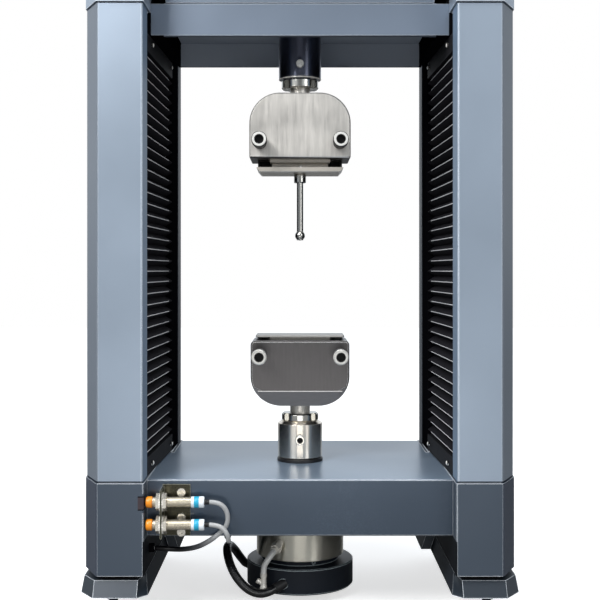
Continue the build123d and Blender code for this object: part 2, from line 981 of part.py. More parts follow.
def grip_outline(half, bottom, top, round_top):
    """D-shaped outline of a grip plate, in the sketch's own X and Y (height)."""
    with BuildSketch() as outline:
        with Locations((0, (bottom + top) / 2)):
            Rectangle(2 * half, top - bottom)
        edge = top if round_top else bottom
        fillet(
            outline.vertices().filter_by(lambda v: abs(v.Y - edge) < 0.1),
            grip_arc,
        )
        other = bottom if round_top else top
        fillet(
            outline.vertices().filter_by(lambda v: abs(v.Y - other) < 0.1),
            1.6 if round_top else 5.0,
        )
    return outline.sketch


upper_outline = grip_outline(60.0, upper_grip_bottom, upper_grip_top, True)
lower_outline = grip_outline(58.5, lower_grip_bottom, lower_grip_top, False)

# Grip bodies: the rear half with the stud seat and the jaw slot. Each node also
# holds the serrated rear jaw and the stud as solids of their own.
with BuildPart() as upper_grip_block:
    with BuildSketch(Plane.XZ.offset(-grip_half_depth)):
        add(upper_outline)
    extrude(amount=grip_half_depth - body_front)
    chamfer(
        upper_grip_block.faces().sort_by(Axis.Y)[-1].edges(),
        1.6,
    )
    # jaw slot, with shallow side pockets at its mouth
    with BuildSketch(Plane.XZ.offset(-18)):
        with Locations((0, (upper_grip_bottom + 562) / 2)):
            Rectangle(2 * 38.0, 562 - upper_grip_bottom)
    extrude(amount=18 - body_front, mode=Mode.SUBTRACT)
    with BuildSketch(Plane.XZ.offset(-18)):
        with Locations((0, (upper_grip_bottom + 531) / 2)):
            Rectangle(2 * 51.0, 531 - upper_grip_bottom)
    extrude(amount=14, mode=Mode.SUBTRACT)
    with BuildSketch(Plane.XY.offset(578)):
        Circle(stud_radius)
    extrude(amount=30, mode=Mode.SUBTRACT)
    with BuildSketch(Plane.XZ.offset(-26)):
        with Locations((clamp_x, upper_clamp_z), (-clamp_x, upper_clamp_z)):
            Circle(6.0)
    extrude(amount=26 - body_front, mode=Mode.SUBTRACT)

with BuildPart() as lower_grip_block:
    with BuildSketch(Plane.XZ.offset(-grip_half_depth)):
        add(lower_outline)
    extrude(amount=grip_half_depth - body_front)
    chamfer(
        lower_grip_block.faces().sort_by(Axis.Y)[-1].edges(),
        1.6,
    )
    with BuildSketch(Plane.XZ.offset(-18)):
        with Locations((0, (262 + lower_grip_top) / 2)):
            Rectangle(2 * 38.0, lower_grip_top - 262)
    extrude(amount=18 - body_front, mode=Mode.SUBTRACT)
    with BuildSketch(Plane.XZ.offset(-18)):
        with Locations((0, (294.5 + lower_grip_top) / 2)):
            Rectangle(2 * 51.0, lower_grip_top - 294.5)
    extrude(amount=14, mode=Mode.SUBTRACT)
    with BuildSketch(Plane.XY.offset(lower_grip_bottom)):
        Circle(stud_radius)
    extrude(amount=20, mode=Mode.SUBTRACT)
    with BuildSketch(Plane.XZ.offset(-26)):
        with Locations((clamp_x, lower_clamp_z), (-clamp_x, lower_clamp_z)):
            Circle(6.0)
    extrude(amount=26 - body_front, mode=Mode.SUBTRACT)


def jaw(low, high, back, face):
    """Jaw block with a serrated face. The face is at y = face."""
    step = 2.0
    depth = 0.8 if back > face else -0.8
    line = [(back, low), (face, low)]
    z = low + 2.0
    while z + step < high - 1.5:
        line += [(face, z), (face + depth, z + step / 2), (face, z + step)]
        z += step
    line += [(face, high), (back, high)]
    unique = [p for i, p in enumerate(line) if i == 0 or p != line[i - 1]]
    with BuildPart() as block:
        with BuildSketch(Plane.YZ.offset(-jaw_half_width)):
            with BuildLine():
                Polyline(*unique, close=True)
            make_face()
        extrude(amount=2 * jaw_half_width)
    return block.part


upper_jaw_rear = jaw(517.0, 560.0, 18.0, jaw_half_gap)
upper_jaw_front = jaw(517.0, 560.0, plate_back, -jaw_half_gap)
lower_jaw_rear = jaw(264.0, 307.4, 18.0, jaw_half_gap)
lower_jaw_front = jaw(264.0, 307.4, plate_back, -jaw_half_gap)

# Clamp plates: the front halves, pulled back by two screws
with BuildPart() as upper_clamp_block:
    with BuildSketch(Plane.XZ.offset(-plate_back)):
        add(upper_outline)
    extrude(amount=grip_half_depth + plate_back)
    chamfer(
        upper_clamp_block.faces().sort_by(Axis.Y)[0].edges(),
        1.6,
    )
    with BuildSketch(Plane.XZ.offset(-plate_back)):
        with Locations((clamp_x, upper_clamp_z), (-clamp_x, upper_clamp_z)):
            Circle(6.6)
    extrude(amount=grip_half_depth + plate_back, mode=Mode.SUBTRACT)

with BuildPart() as lower_clamp_block:
    with BuildSketch(Plane.XZ.offset(-plate_back)):
        add(lower_outline)
    extrude(amount=grip_half_depth + plate_back)
    chamfer(
        lower_clamp_block.faces().sort_by(Axis.Y)[0].edges().filter_by(
            lambda e: e.center().Z > 290
        ),
        1.6,
    )
    # the lower front slopes back below a crease, and so do its two ends
    with BuildSketch(Plane.YZ.offset(-70)):
        with BuildLine():
            Polyline(
                (-grip_half_depth - 1, 244.4 + 1.7),
                (-grip_half_depth - 1, 215),
                (-grip_half_depth + 17, 215),
                close=True,
            )
        make_face()
    extrude(amount=140, mode=Mode.SUBTRACT)
    for side in (1, -1):
        end_plane = Plane(
            origin=(side * 44, -grip_half_depth, 244.4),
            x_dir=(0, 1, 0),
            z_dir=(
                side * math.cos(math.radians(28)),
                0,
                side * math.sin(math.radians(28)) * side,
            ),
        )
        with BuildSketch(end_plane.offset(-1)):
            with BuildLine():
                flip = 1 if end_plane.y_dir.Z > 0 else -1
                Polyline((-1, flip * 1.7), (-1, flip * -30), (17, flip * -30), close=True)
            make_face()
        extrude(amount=40, mode=Mode.SUBTRACT)
    with BuildSketch(Plane.XZ.offset(-plate_back)):
        with Locations((clamp_x, lower_clamp_z), (-clamp_x, lower_clamp_z)):
            Circle(6.6)
    extrude(amount=grip_half_depth + plate_back, mode=Mode.SUBTRACT)


def clamp_screw(x, z):
    """M12 cap screw with a long collar, head towards the front."""
    with BuildPart() as screw:
        with BuildSketch(Plane.XZ.offset(grip_half_depth)):
            with Locations((x, z)):
                Circle(8.2)
        extrude(amount=clamp_collar)
        with BuildSketch(Plane.XZ.offset(grip_half_depth + clamp_collar)):
            with Locations((x, z)):
                Circle(clamp_head_radius)
        extrude(amount=clamp_head)
        chamfer(screw.faces().sort_by(Axis.Y)[0].edges(), 1.0)
        with BuildSketch(Plane.XZ.offset(grip_half_depth + clamp_collar + clamp_head)):
            with Locations((x, z)):
                RegularPolygon(5.6, 6)
        extrude(amount=-7, mode=Mode.SUBTRACT)
        with BuildSketch(Plane.XZ.offset(-14)):
            with Locations((x, z)):
                Circle(clamp_shank_radius)
        extrude(amount=grip_half_depth + 14)
    return screw.part


upper_clamp_screw_left = clamp_screw(-clamp_x, upper_clamp_z)
upper_clamp_screw_right = clamp_screw(clamp_x, upper_clamp_z)
lower_clamp_screw_left = clamp_screw(-clamp_x, lower_clamp_z)
lower_clamp_screw_right = clamp_screw(clamp_x, lower_clamp_z)

# Tool plate, gripped by its tongue, with low cheeks at its sides and a rear ledge
# that bears on the grip
with BuildPart() as tool_plate:
    with BuildSketch(Plane.XZ.offset(-30)):
        with BuildLine():
            Polyline(
                (-51.4, 510),
                (-51.4, 508.6),
                (-47.0, 504),
                (47.0, 504),
                (51.4, 508.6),
                (51.4, 510),
                close=True,
            )
        make_face()
    extrude(amount=62)
    chamfer(
        tool_plate.edges()
        .filter_by(Axis.X)
        .filter_by(lambda e: e.center().Z < 504.5),
        1.2,
    )
    with BuildSketch(Plane.XY.offset(510)):
        Rectangle(2 * 34.0, 2 * jaw_half_gap)
    extrude(amount=48)
    with BuildSketch(Plane.XY.offset(510)):
        with Locations((50.0, 8), (-50.0, 8)):
            Rectangle(2.0, 20)
        with Locations((0, 24.5)):
            Rectangle(2 * 51.0, 11)
        with Locations((44.0, 16), (-44.0, 16)):
            Rectangle(14.0, 10)
    extrude(amount=upper_grip_bottom - 510 - 0.2)
    with BuildSketch(Plane.XY.offset(504)):
        Circle(4.0)
    extrude(amount=10, mode=Mode.SUBTRACT)

# Anvil plate on the lower grip, held by its tongue, with feet under its ends
with BuildPart() as anvil_plate:
    with BuildSketch(Plane.XY.offset(anvil_bottom)):
        with Locations((0, 1)):
            RectangleRounded(106, 50, 3)
    extrude(amount=anvil_top - anvil_bottom)
    chamfer(anvil_plate.faces().sort_by(Axis.Z)[-1].edges(), 0.5)
    with BuildSketch(Plane.XY.offset(anvil_bottom)):
        Rectangle(2 * 34.0, 2 * jaw_half_gap)
    extrude(amount=-(anvil_bottom - 268))
    with BuildSketch(Plane.XY.offset(anvil_bottom)):
        with Locations((0, 22)):
            Rectangle(2 * 51.0, 6)
        with Locations((44.5, 18), (-44.5, 18)):
            Rectangle(15.0, 14)
    extrude(amount=-(anvil_bottom - lower_grip_top - 0.2))

# Stylus: rod with a ball tip, and its collar nut
with BuildPart() as stylus_rod:
    with BuildSketch(Plane.XZ):
        with BuildLine():
            Polyline(
                (0, 514),
                (0, 424),
                (4.0, 424),
                (4.0, 478),
                (4.0, 514),
                close=True,
            )
        make_face()
    revolve(axis=Axis.Z)
    with Locations((0, 0, 429.7)):
        Sphere(6.1)

with BuildPart() as stylus_collar:
    with BuildSketch(Plane.XY.offset(493.5)):
        Circle(7.4)
        Circle(4.0, mode=Mode.SUBTRACT)
    extrude(amount=10.5)
    chamfer(
        stylus_collar.edges()
        .filter_by(GeomType.CIRCLE)
        .filter_by(lambda e: e.radius > 7),
        0.9,
    )

# ---------------------------------------------------------------- lower string
with BuildPart() as lower_stud:
    with BuildSketch(Plane.XY.offset(177)):
        Circle(stud_radius)
    extrude(amount=245 - 177)
    chamfer(lower_stud.faces().sort_by(Axis.Z)[0].edges(), 1.0)
    with BuildSketch(Plane.XZ.offset(-30)):
        with Locations((0, lower_pin_z)):
            Circle(4.0 + running_gap)
    extrude(amount=60, mode=Mode.SUBTRACT)

with BuildPart() as coupling:
    with BuildSketch(Plane.XZ):
        with BuildLine():
            Polyline(
                (spindle_radius, coupling_bottom),
                (coupling_radius - 1.4, coupling_bottom),
                (coupling_radius, coupling_bottom + 1.4),
                (coupling_radius, coupling_top - 3.0),
                (coupling_radius - 3.6, coupling_top),
                (stud_radius + 0.02, coupling_top),
                (stud_radius + 0.02, 175),
                (spindle_radius, 175),
                close=True,
            )
        make_face()
    revolve(axis=Axis.Z)
    with BuildSketch(Plane.XZ.offset(-30)):
        with Locations((0, lower_pin_z)):
            Circle(4.0 + running_gap)
    extrude(amount=60, mode=Mode.SUBTRACT)

with BuildPart() as spindle:
    with BuildSketch(Plane.XZ):
        with BuildLine():
            Polyline(
                (0, 16),
                (11, 16),
                (11, 20),
                (46, 20),
                (46, 32),
                (18, 32),
                (18, 42),
                (spindle_radius, 42),
                (spindle_radius, 175),
                (0, 175),
                close=True,
            )
        make_face()
    revolve(axis=Axis.Z)

with BuildPart() as seal_ring:
    with BuildSketch(Plane.XY.offset(table_top)):
        Circle(27.6)
        Circle(15.4, mode=Mode.SUBTRACT)
    extrude(amount=4.0)
    chamfer(
        seal_ring.edges()
        .filter_by(GeomType.CIRCLE)
        .filter_by(lambda e: e.radius > 20 and e.center().Z > 160),
        1.0,
    )

# ---------------------------------------------------------------- under the table
# Directions and seats of the two connections on the rotary drive
power_seat = Vector(-17.5, -58.5, 24.0)
power_way = Vector(-0.80, -0.50, -0.33).normalized()
signal_seat = Vector(-23.0, -45.0, 68.0)
signal_way = Vector(-0.42, -0.80, -0.42).normalized()
elbow_x, elbow_y = -42.2, -62.0

with BuildPart() as bearing_housing:
    with BuildSketch(Plane.XZ):
        with BuildLine():
            Polyline(
                (28.0, 46.0),
                (housing_radius - 0.8, 46.0),
                (housing_radius, 46.8),
                (housing_radius, table_bottom),
                (spindle_radius + 1.5, table_bottom),
                (spindle_radius + 1.5, 92.0),
                (28.0, 92.0),
                close=True,
            )
        make_face()
    revolve(axis=Axis.Z)
    with BuildSketch(Plane(origin=signal_seat, z_dir=signal_way)):
        Circle(4.6)
    extrude(amount=16, mode=Mode.SUBTRACT)

# Rotary drive: a black cup with a stepped neck, closed by its floor
with BuildPart() as rotary_drive:
    with BuildSketch(Plane.XZ):
        with BuildLine():
            Polyline(
                (0, disc_bottom),
                (disc_radius - 1.6, disc_bottom),
                (disc_radius, disc_bottom + 1.6),
                (disc_radius, disc_top - 1.2),
                (disc_radius - 1.2, disc_top),
                (46.5, disc_top),
                (46.5, 46.0),
                (20.0, 46.0),
                (20.0, 34.0),
                (50.0, 34.0),
                (50.0, 18.0),
                (13.0, 18.0),
                (13.0, 14.0),
                (0, 14.0),
                close=True,
            )
        make_face()
    revolve(axis=Axis.Z)
    with BuildSketch(Plane(origin=power_seat, z_dir=power_way)):
        Circle(5.6)
    extrude(amount=20, mode=Mode.SUBTRACT)
    with BuildSketch(Plane.XZ.offset(44)):
        with Locations((elbow_x, 21.5)):
            Circle(3.0)
    extrude(amount=10, mode=Mode.SUBTRACT)
    # small set screw in the neck
    with BuildSketch(Plane.XZ.offset(46)):
        with Locations((16, 43)):
            Circle(1.6)
    extrude(amount=-6, mode=Mode.SUBTRACT)

# Signal line fittings: a hexagon nut on the bearing housing and an elbow with
# a side barb on the rotary drive
with BuildPart() as signal_nut:
    with BuildSketch(Plane(origin=signal_seat, z_dir=signal_way)):
        Circle(4.6)
    extrude(amount=8)
    with BuildSketch(Plane(origin=signal_seat + signal_way * 8, z_dir=signal_way)):
        RegularPolygon(6.6, 6)
    extrude(amount=6.0)
    with BuildSketch(Plane(origin=signal_seat + signal_way * 14, z_dir=signal_way)):
        Circle(4.6)
    extrude(amount=3.0)

with BuildPart() as elbow_fitting:
    with BuildSketch(Plane.XZ):
        with BuildLine():
            Polyline(
                (0, 17.0),
                (4.4, 17.0),
                (4.4, 19.0),
                (3.4, 23.0),
                (3.2, 31.5),
                (3.8, 31.5),
                (3.8, 36.0),
                (0, 36.0),
                close=True,
            )
        make_face()
    revolve(axis=Axis.Z)
elbow_stem = Pos(elbow_x, elbow_y, 0) * elbow_fitting.part
with BuildPart() as elbow_fitting:
    add(elbow_stem)
    with BuildSketch(Plane.XZ.offset(44)):
        with Locations((elbow_x, 21.5)):
            Circle(3.0)
    extrude(amount=17)
    with BuildSketch(
        Plane(
            origin=(elbow_x, elbow_y, 22.5),
            z_dir=(-0.80, 0, 0.60),
        )
    ):
        Circle(2.4)
    extrude(amount=9.5)
    with BuildSketch(
        Plane(
            origin=(elbow_x - 0.80 * 6.4, elbow_y, 22.5 + 0.60 * 6.4),
            z_dir=(-0.80, 0, 0.60),
        )
    ):
        Circle(3.2)
    extrude(amount=2.6)


# ---------------------------------------------------------------- cables
def cord_radii(points):
    """One radius per corner: 0.45 of the shorter run over tan(half turn)."""
    radii = []
    for a, b, c in zip(points, points[1:], points[2:]):
        before = Vector(*b) - Vector(*a)
        after = Vector(*c) - Vector(*b)
        turn = math.radians(before.get_angle(after))
        radii.append(0.45 * min(before.length, after.length) / math.tan(turn / 2))
    return radii


def cord(points, diameter, name):
    """Round tube along straight runs joined by tangent arcs."""
    radii = cord_radii(points)
    with BuildPart() as tube:
        with BuildLine() as path:
            FilletPolyline(*points, radius=radii)
        with BuildSketch(
            Plane(
                origin=points[0],
                z_dir=(Vector(*points[1]) - Vector(*points[0])).normalized(),
            )
        ):
            Circle(diameter / 2)
        sweep()
    length = sum(edge.length for edge in path.edges())
    print(
        name,
        "length",
        round(length, 1),
        "volume share",
        round(tube.part.volume / (math.pi * diameter**2 / 4 * length), 4),
        "radii",
        [round(r, 1) for r in radii],
    )
    return tube.part


def on(point, way, distance):
    return tuple(Vector(*point) + Vector(*way) * distance)


power_start = tuple(power_seat + power_way * 15)
power_route = [
    power_start,
    tuple(power_seat + power_way * 28),
    (-55.5, -72.5, 17.0),
    (-68.5, -70.5, 27.0),
    (-79.0, -66.0, 41.5),
    (-85.5, -53.0, 57.0),
    (-86.0, -30.0, 62.5),
    (-80.5, -8.0, 53.0),
    (-73.5, 12.0, 36.0),
    (-66.0, 32.0, 20.5),
    (-52.5, 55.0, 15.5),
    (-36.0, 73.5, 20.5),
    (-22.0, 81.0, 38.0),
    (-14.6, 80.4, 58.0),
    (-14.0, 80.0, 79.4),
]
power_cable = cord(power_route, power_cable_diameter, "power_cable")

signal_route = [
    tuple(signal_seat + signal_way * 17),
    tuple(signal_seat + signal_way * 21.5),
    (-38.2, -64.6, 50.8),
    (elbow_x, elbow_y, 43.5),
    (elbow_x, elbow_y, 36.0),
]
signal_cable = cord(signal_route, signal_cable_diameter, "signal_cable")

sensor_cable_start = -98.25
upper_route = [
    (sensor_cable_start, sensor_y, sensor_upper_z),
    (-88.5, -144.0, 135.6),
    (-80.6, -142.5, 128.4),
    (-78.0, -140.2, 118.0),
    (-80.6, -137.6, 107.5),
    (-88.6, -136.0, 99.4),
    (-99.5, -132.0, 90.5),
    (-113.5, -122.5, 81.5),
    (-130.0, -112.5, 76.5),
    (-147.0, -107.5, 75.6),
    (-162.7, -106.0, 77.0),
]
sensor_cable_upper = cord(upper_route, sensor_cable_diameter, "sensor_cable_upper")

lower_route = [
    (sensor_cable_start, sensor_y, sensor_lower_z),
    (-89.5, -144.9, 110.9),
    (-82.3, -145.4, 106.8),
    (-78.3, -144.8, 99.6),
    (-77.7, -140.4, 92.9),
    (-78.3, -132.0, 90.4),
    (-79.4, -122.5, 90.6),
    (-80.6, -112.5, 91.2),
]
sensor_cable_lower = cord(lower_route, sensor_cable_diameter, "sensor_cable_lower")

# Glands: where cables leave the drive, and enter the table and the left leg
lower_way = (Vector(*lower_route[-1]) - Vector(*lower_route[-2])).normalized()
with BuildPart() as cable_glands:
    with BuildSketch(Plane(origin=power_seat, z_dir=power_way)):
        Circle(5.6)
    extrude(amount=10.6)
    with BuildSketch(Plane(origin=power_seat + power_way * 10.6, z_dir=power_way)):
        Circle(6.2)
    extrude(amount=3.2)
    with BuildSketch(Plane(origin=power_seat + power_way * 13.8, z_dir=power_way)):
        Circle(5.4)
    extrude(amount=1.2)
    with BuildSketch(Plane.XY.offset(80)):
        with Locations((-14, 80)):
            Circle(6.0)
    extrude(amount=6)
    with BuildSketch(Plane.XY.offset(86)):
        with Locations((-14, 80)):
            RegularPolygon(9.0, 6)
    extrude(amount=table_bottom - 86)
    with BuildSketch(Plane.YZ.offset(-168.6)):
        with Locations((-106, 77)):
            Circle(5.0)
    extrude(amount=5.4)
with BuildPart() as lower_ferrule:
    with BuildSketch(Plane(origin=lower_route[-1], z_dir=lower_way)):
        Circle(3.8)
    extrude(amount=12)
    split(bisect_by=Plane.XY.offset(table_bottom), keep=Keep.BOTTOM)

# ---------------------------------------------------------------- sensors
with BuildPart() as proximity_sensors:
    for z in (sensor_upper_z, sensor_lower_z):
        with BuildSketch(Plane.XY.offset(z)):
            with BuildLine():
                Polyline(
                    *[
                        (x, sensor_y + r)
                        for x, r in (
                            (-167.0, 0),
                            (-167.0, 5.4),
                            (-166.2, 6.2),
                            (-160.2, 6.2),
                            (-159.6, 5.6),
                            (-159.6, 5.0),
                            (-157.4, 5.0),
                            (-157.4, 5.6),
                            (-117.8, 5.6),
                            (-117.8, 6.1),
                            (-104.6, 6.1),
                            (-103.8, 5.4),
                            (-103.8, 2.8),
                            (-98.6, 2.5),
                            (-98.6, 0),
                        )
                    ],
                    close=True,
                )
            make_face()
        revolve(axis=Axis((0, sensor_y, z), (1, 0, 0)))

with BuildPart() as sensor_nuts:
    for z in (sensor_upper_z, sensor_lower_z):
        for x, thick in ((-156.0, 5.0), (-149.2, 4.6)):
            with BuildSketch(Plane.YZ.offset(x)):
                with Locations((sensor_y, z)):
                    RegularPolygon(8.5, 6, major_radius=False, rotation=30)
                    Circle(5.6, mode=Mode.SUBTRACT)
            extrude(amount=thick)

# Stainless angle bracket: one leaf on the table's front, one round the barrels
with BuildPart() as sensor_bracket:
    with BuildSketch(Plane.XZ.offset(126)):
        with Locations(((-151.0 - 120.7) / 2, 124.0)):
            Rectangle(151.0 - 120.7, 56.0)
    extrude(amount=1.6)
    with BuildSketch(Plane.YZ.offset(-151.0)):
        with Locations(((-127.6 - 154.0) / 2, 124.0)):
            Rectangle(154.0 - 127.6, 52.0)
        with Locations((sensor_y, sensor_upper_z), (sensor_y, sensor_lower_z)):
            Circle(6.1, mode=Mode.SUBTRACT)
    extrude(amount=1.8)
    with BuildSketch(Plane.XZ.offset(126)):
        with Locations((-130.4, 143.5), (-130.4, 115.7), (-130.4, 99.8)):
            Circle(2.6)
    extrude(amount=2, mode=Mode.SUBTRACT)

with BuildPart() as bracket_screws:
    for z in (143.5, 115.7, 99.8):
        with BuildSketch(Plane.XZ.offset(126)):
            with Locations((-130.4, z)):
                Circle(2.5)
        extrude(amount=1.6)
        with BuildSketch(Plane.XZ.offset(127.6)):
            with Locations((-130.4, z)):
                Circle(4.6)
                RegularPolygon(2.2, 6, mode=Mode.SUBTRACT)
        extrude(amount=3.0)
        with BuildSketch(Plane.XZ.offset(127.6)):
            with Locations((-130.4, z)):
                Circle(4.6)
        extrude(amount=1.0)

# Steel target screw in the left leg's notch, facing the upper sensor
with BuildPart() as sensor_target:
    with BuildSketch(Plane.YZ.offset(-175.0)):
        with Locations((-145.6, sensor_upper_z)):
            Circle(6.4)
    extrude(amount=6.2)
    chamfer(sensor_target.faces().sort_by(Axis.X)[-1].edges(), 0.8)

# Rear connection panel of the table beam: supply inlet and two round sockets
with BuildPart() as connector_panel:
    with BuildSketch(Plane.XZ.offset(-150)):
        with Locations((95, 126)):
            RectangleRounded(96, 42, 4)
    extrude(amount=-2.0)
    with BuildSketch(Plane.XZ.offset(-152)):
        with Locations((70, 126)):
            RectangleRounded(34, 27, 3)
    extrude(amount=-3.0)
    with BuildSketch(Plane.XZ.offset(-155)):
        with Locations((70, 126)):
            RectangleRounded(27, 20, 3)
    extrude(amount=4.0, mode=Mode.SUBTRACT)
    with BuildSketch(Plane.XZ.offset(-151)):
        with Locations((63, 126), (70, 129), (77, 126)):
            Rectangle(2, 5)
    extrude(amount=-3.0)
    with BuildSketch(Plane.XZ.offset(-152)):
        with Locations((104, 126), (127, 126)):
            Circle(8.5)
            Circle(5.5, mode=Mode.SUBTRACT)
    extrude(amount=-4.0)


# ---------------------------------------------------------------- output
def group(*shapes):
    return Compound(children=[solid for shape in shapes for solid in shape.solids()])


nodes = {
    "table_beam": table_beam.part,
    "leg_housings": leg_housings.part,
    "skid_feet": skid_feet.part,
    "isolation_pads": isolation_pads.part,
    "levelling_feet": levelling_feet.part,
    "front_covers": front_covers.part,
    "rear_covers": rear_covers.part,
    "head_housings": head_housings.part,
    "crown_beam": crown_beam.part,
    "guide_rods": guide_rods.part,
    "frame_bolts": frame_bolts.part,
    "ball_screw_left": ball_screw_left,
    "ball_screw_right": ball_screw_right,
    "motor_pulley_left": motor_pulley_left,
    "motor_pulley_right": motor_pulley_right,
    "drive_motors": drive_motors.part,
    "drive_belts": drive_belts.part,
    "bearings": bearings.part,
    "lower_bellows": lower_bellows.part,
    "upper_bellows": upper_bellows.part,
    "bellows_frames": bellows_frames.part,
    "bellows_bars": bellows_bars.part,
    "crosshead_beam": crosshead_beam.part,
    "crosshead_cover": crosshead_cover.part,
    "load_cell": load_cell.part,
    "ball_nuts": ball_nuts.part,
    "guide_bushes": guide_bushes.part,
    "upper_adapter": upper_adapter.part,
    "upper_locknut": upper_locknut,
    "upper_cross_screw": upper_cross_screw,
    "upper_grip_body": group(upper_grip_block.part, upper_jaw_rear, upper_stud.part),
    "upper_clamp_plate": group(upper_clamp_block.part, upper_jaw_front),
    "upper_clamp_screw_left": upper_clamp_screw_left,
    "upper_clamp_screw_right": upper_clamp_screw_right,
    "tool_plate": tool_plate.part,
    "stylus": group(stylus_rod.part, stylus_collar.part),
    "anvil_plate": anvil_plate.part,
    "lower_grip_body": group(lower_grip_block.part, lower_jaw_rear, lower_stud.part),
    "lower_clamp_plate": group(lower_clamp_block.part, lower_jaw_front),
    "lower_clamp_screw_left": lower_clamp_screw_left,
    "lower_clamp_screw_right": lower_clamp_screw_right,
    "lower_locknut": lower_locknut,
    "lower_cross_screw": lower_cross_screw,
    "coupling": coupling.part,
    "spindle": spindle.part,
    "seal_ring": seal_ring.part,
    "bearing_housing": bearing_housing.part,
    "rotary_drive": rotary_drive.part,
    "signal_cable": signal_cable,
    "power_cable": power_cable,
    "cable_fittings": group(
        signal_nut.part, elbow_fitting.part, cable_glands.part, lower_ferrule.part
    ),
    "proximity_sensors": proximity_sensors.part,
    "sensor_nuts": sensor_nuts.part,
    "sensor_bracket": sensor_bracket.part,
    "bracket_screws": bracket_screws.part,
    "sensor_target": sensor_target.part,
    "sensor_cable_upper": sensor_cable_upper,
    "sensor_cable_lower": sensor_cable_lower,
    "connector_panel": connector_panel.part,
}
for name, shape in nodes.items():
    shape.label = name
    export_step(shape, f"parts/{name}.step")
print(len(nodes), "nodes")
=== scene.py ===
import math

import bmesh
import bpy
from mathutils import Matrix, Vector


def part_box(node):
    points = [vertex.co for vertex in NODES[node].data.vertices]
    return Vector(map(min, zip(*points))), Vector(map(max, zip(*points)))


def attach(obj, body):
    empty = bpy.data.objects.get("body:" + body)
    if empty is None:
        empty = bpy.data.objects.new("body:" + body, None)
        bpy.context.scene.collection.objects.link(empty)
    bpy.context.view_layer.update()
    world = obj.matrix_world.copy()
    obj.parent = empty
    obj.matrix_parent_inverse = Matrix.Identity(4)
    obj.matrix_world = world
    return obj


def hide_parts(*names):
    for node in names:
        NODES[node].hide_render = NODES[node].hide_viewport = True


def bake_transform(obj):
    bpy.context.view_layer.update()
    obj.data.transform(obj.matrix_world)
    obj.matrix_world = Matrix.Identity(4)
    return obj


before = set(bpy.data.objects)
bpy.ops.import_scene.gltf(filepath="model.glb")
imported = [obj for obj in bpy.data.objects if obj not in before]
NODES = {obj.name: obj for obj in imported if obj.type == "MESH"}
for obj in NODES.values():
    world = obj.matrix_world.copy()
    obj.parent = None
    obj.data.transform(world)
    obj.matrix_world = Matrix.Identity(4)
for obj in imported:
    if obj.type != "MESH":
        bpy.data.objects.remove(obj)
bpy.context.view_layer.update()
MM = 0.001
scene = bpy.context.scene


# ------------------------------------------------------------------ camera
camera = bpy.data.objects.new("camera", bpy.data.cameras.new("camera"))
scene.collection.objects.link(camera)
camera.location = (0, -1.338, 0.3878)
camera.rotation_euler = (math.radians(90), 0, 0)
camera.data.lens = 66
camera.data.sensor_width = 36
camera.data.shift_y = -0.05
camera.data.clip_start = 0.01
camera.data.clip_end = 50
scene.camera = camera

scene.view_settings.view_transform = "Standard"
scene.view_settings.look = "None"
scene.cycles.use_denoising = True
scene.cycles.max_bounces = 8


# ------------------------------------------------------------------ materials
def srgb(r, g, b):
    def one(c):
        c /= 255
        return c / 12.92 if c <= 0.04045 else ((c + 0.055) / 1.055) ** 2.4

    return (one(r), one(g), one(b), 1.0)


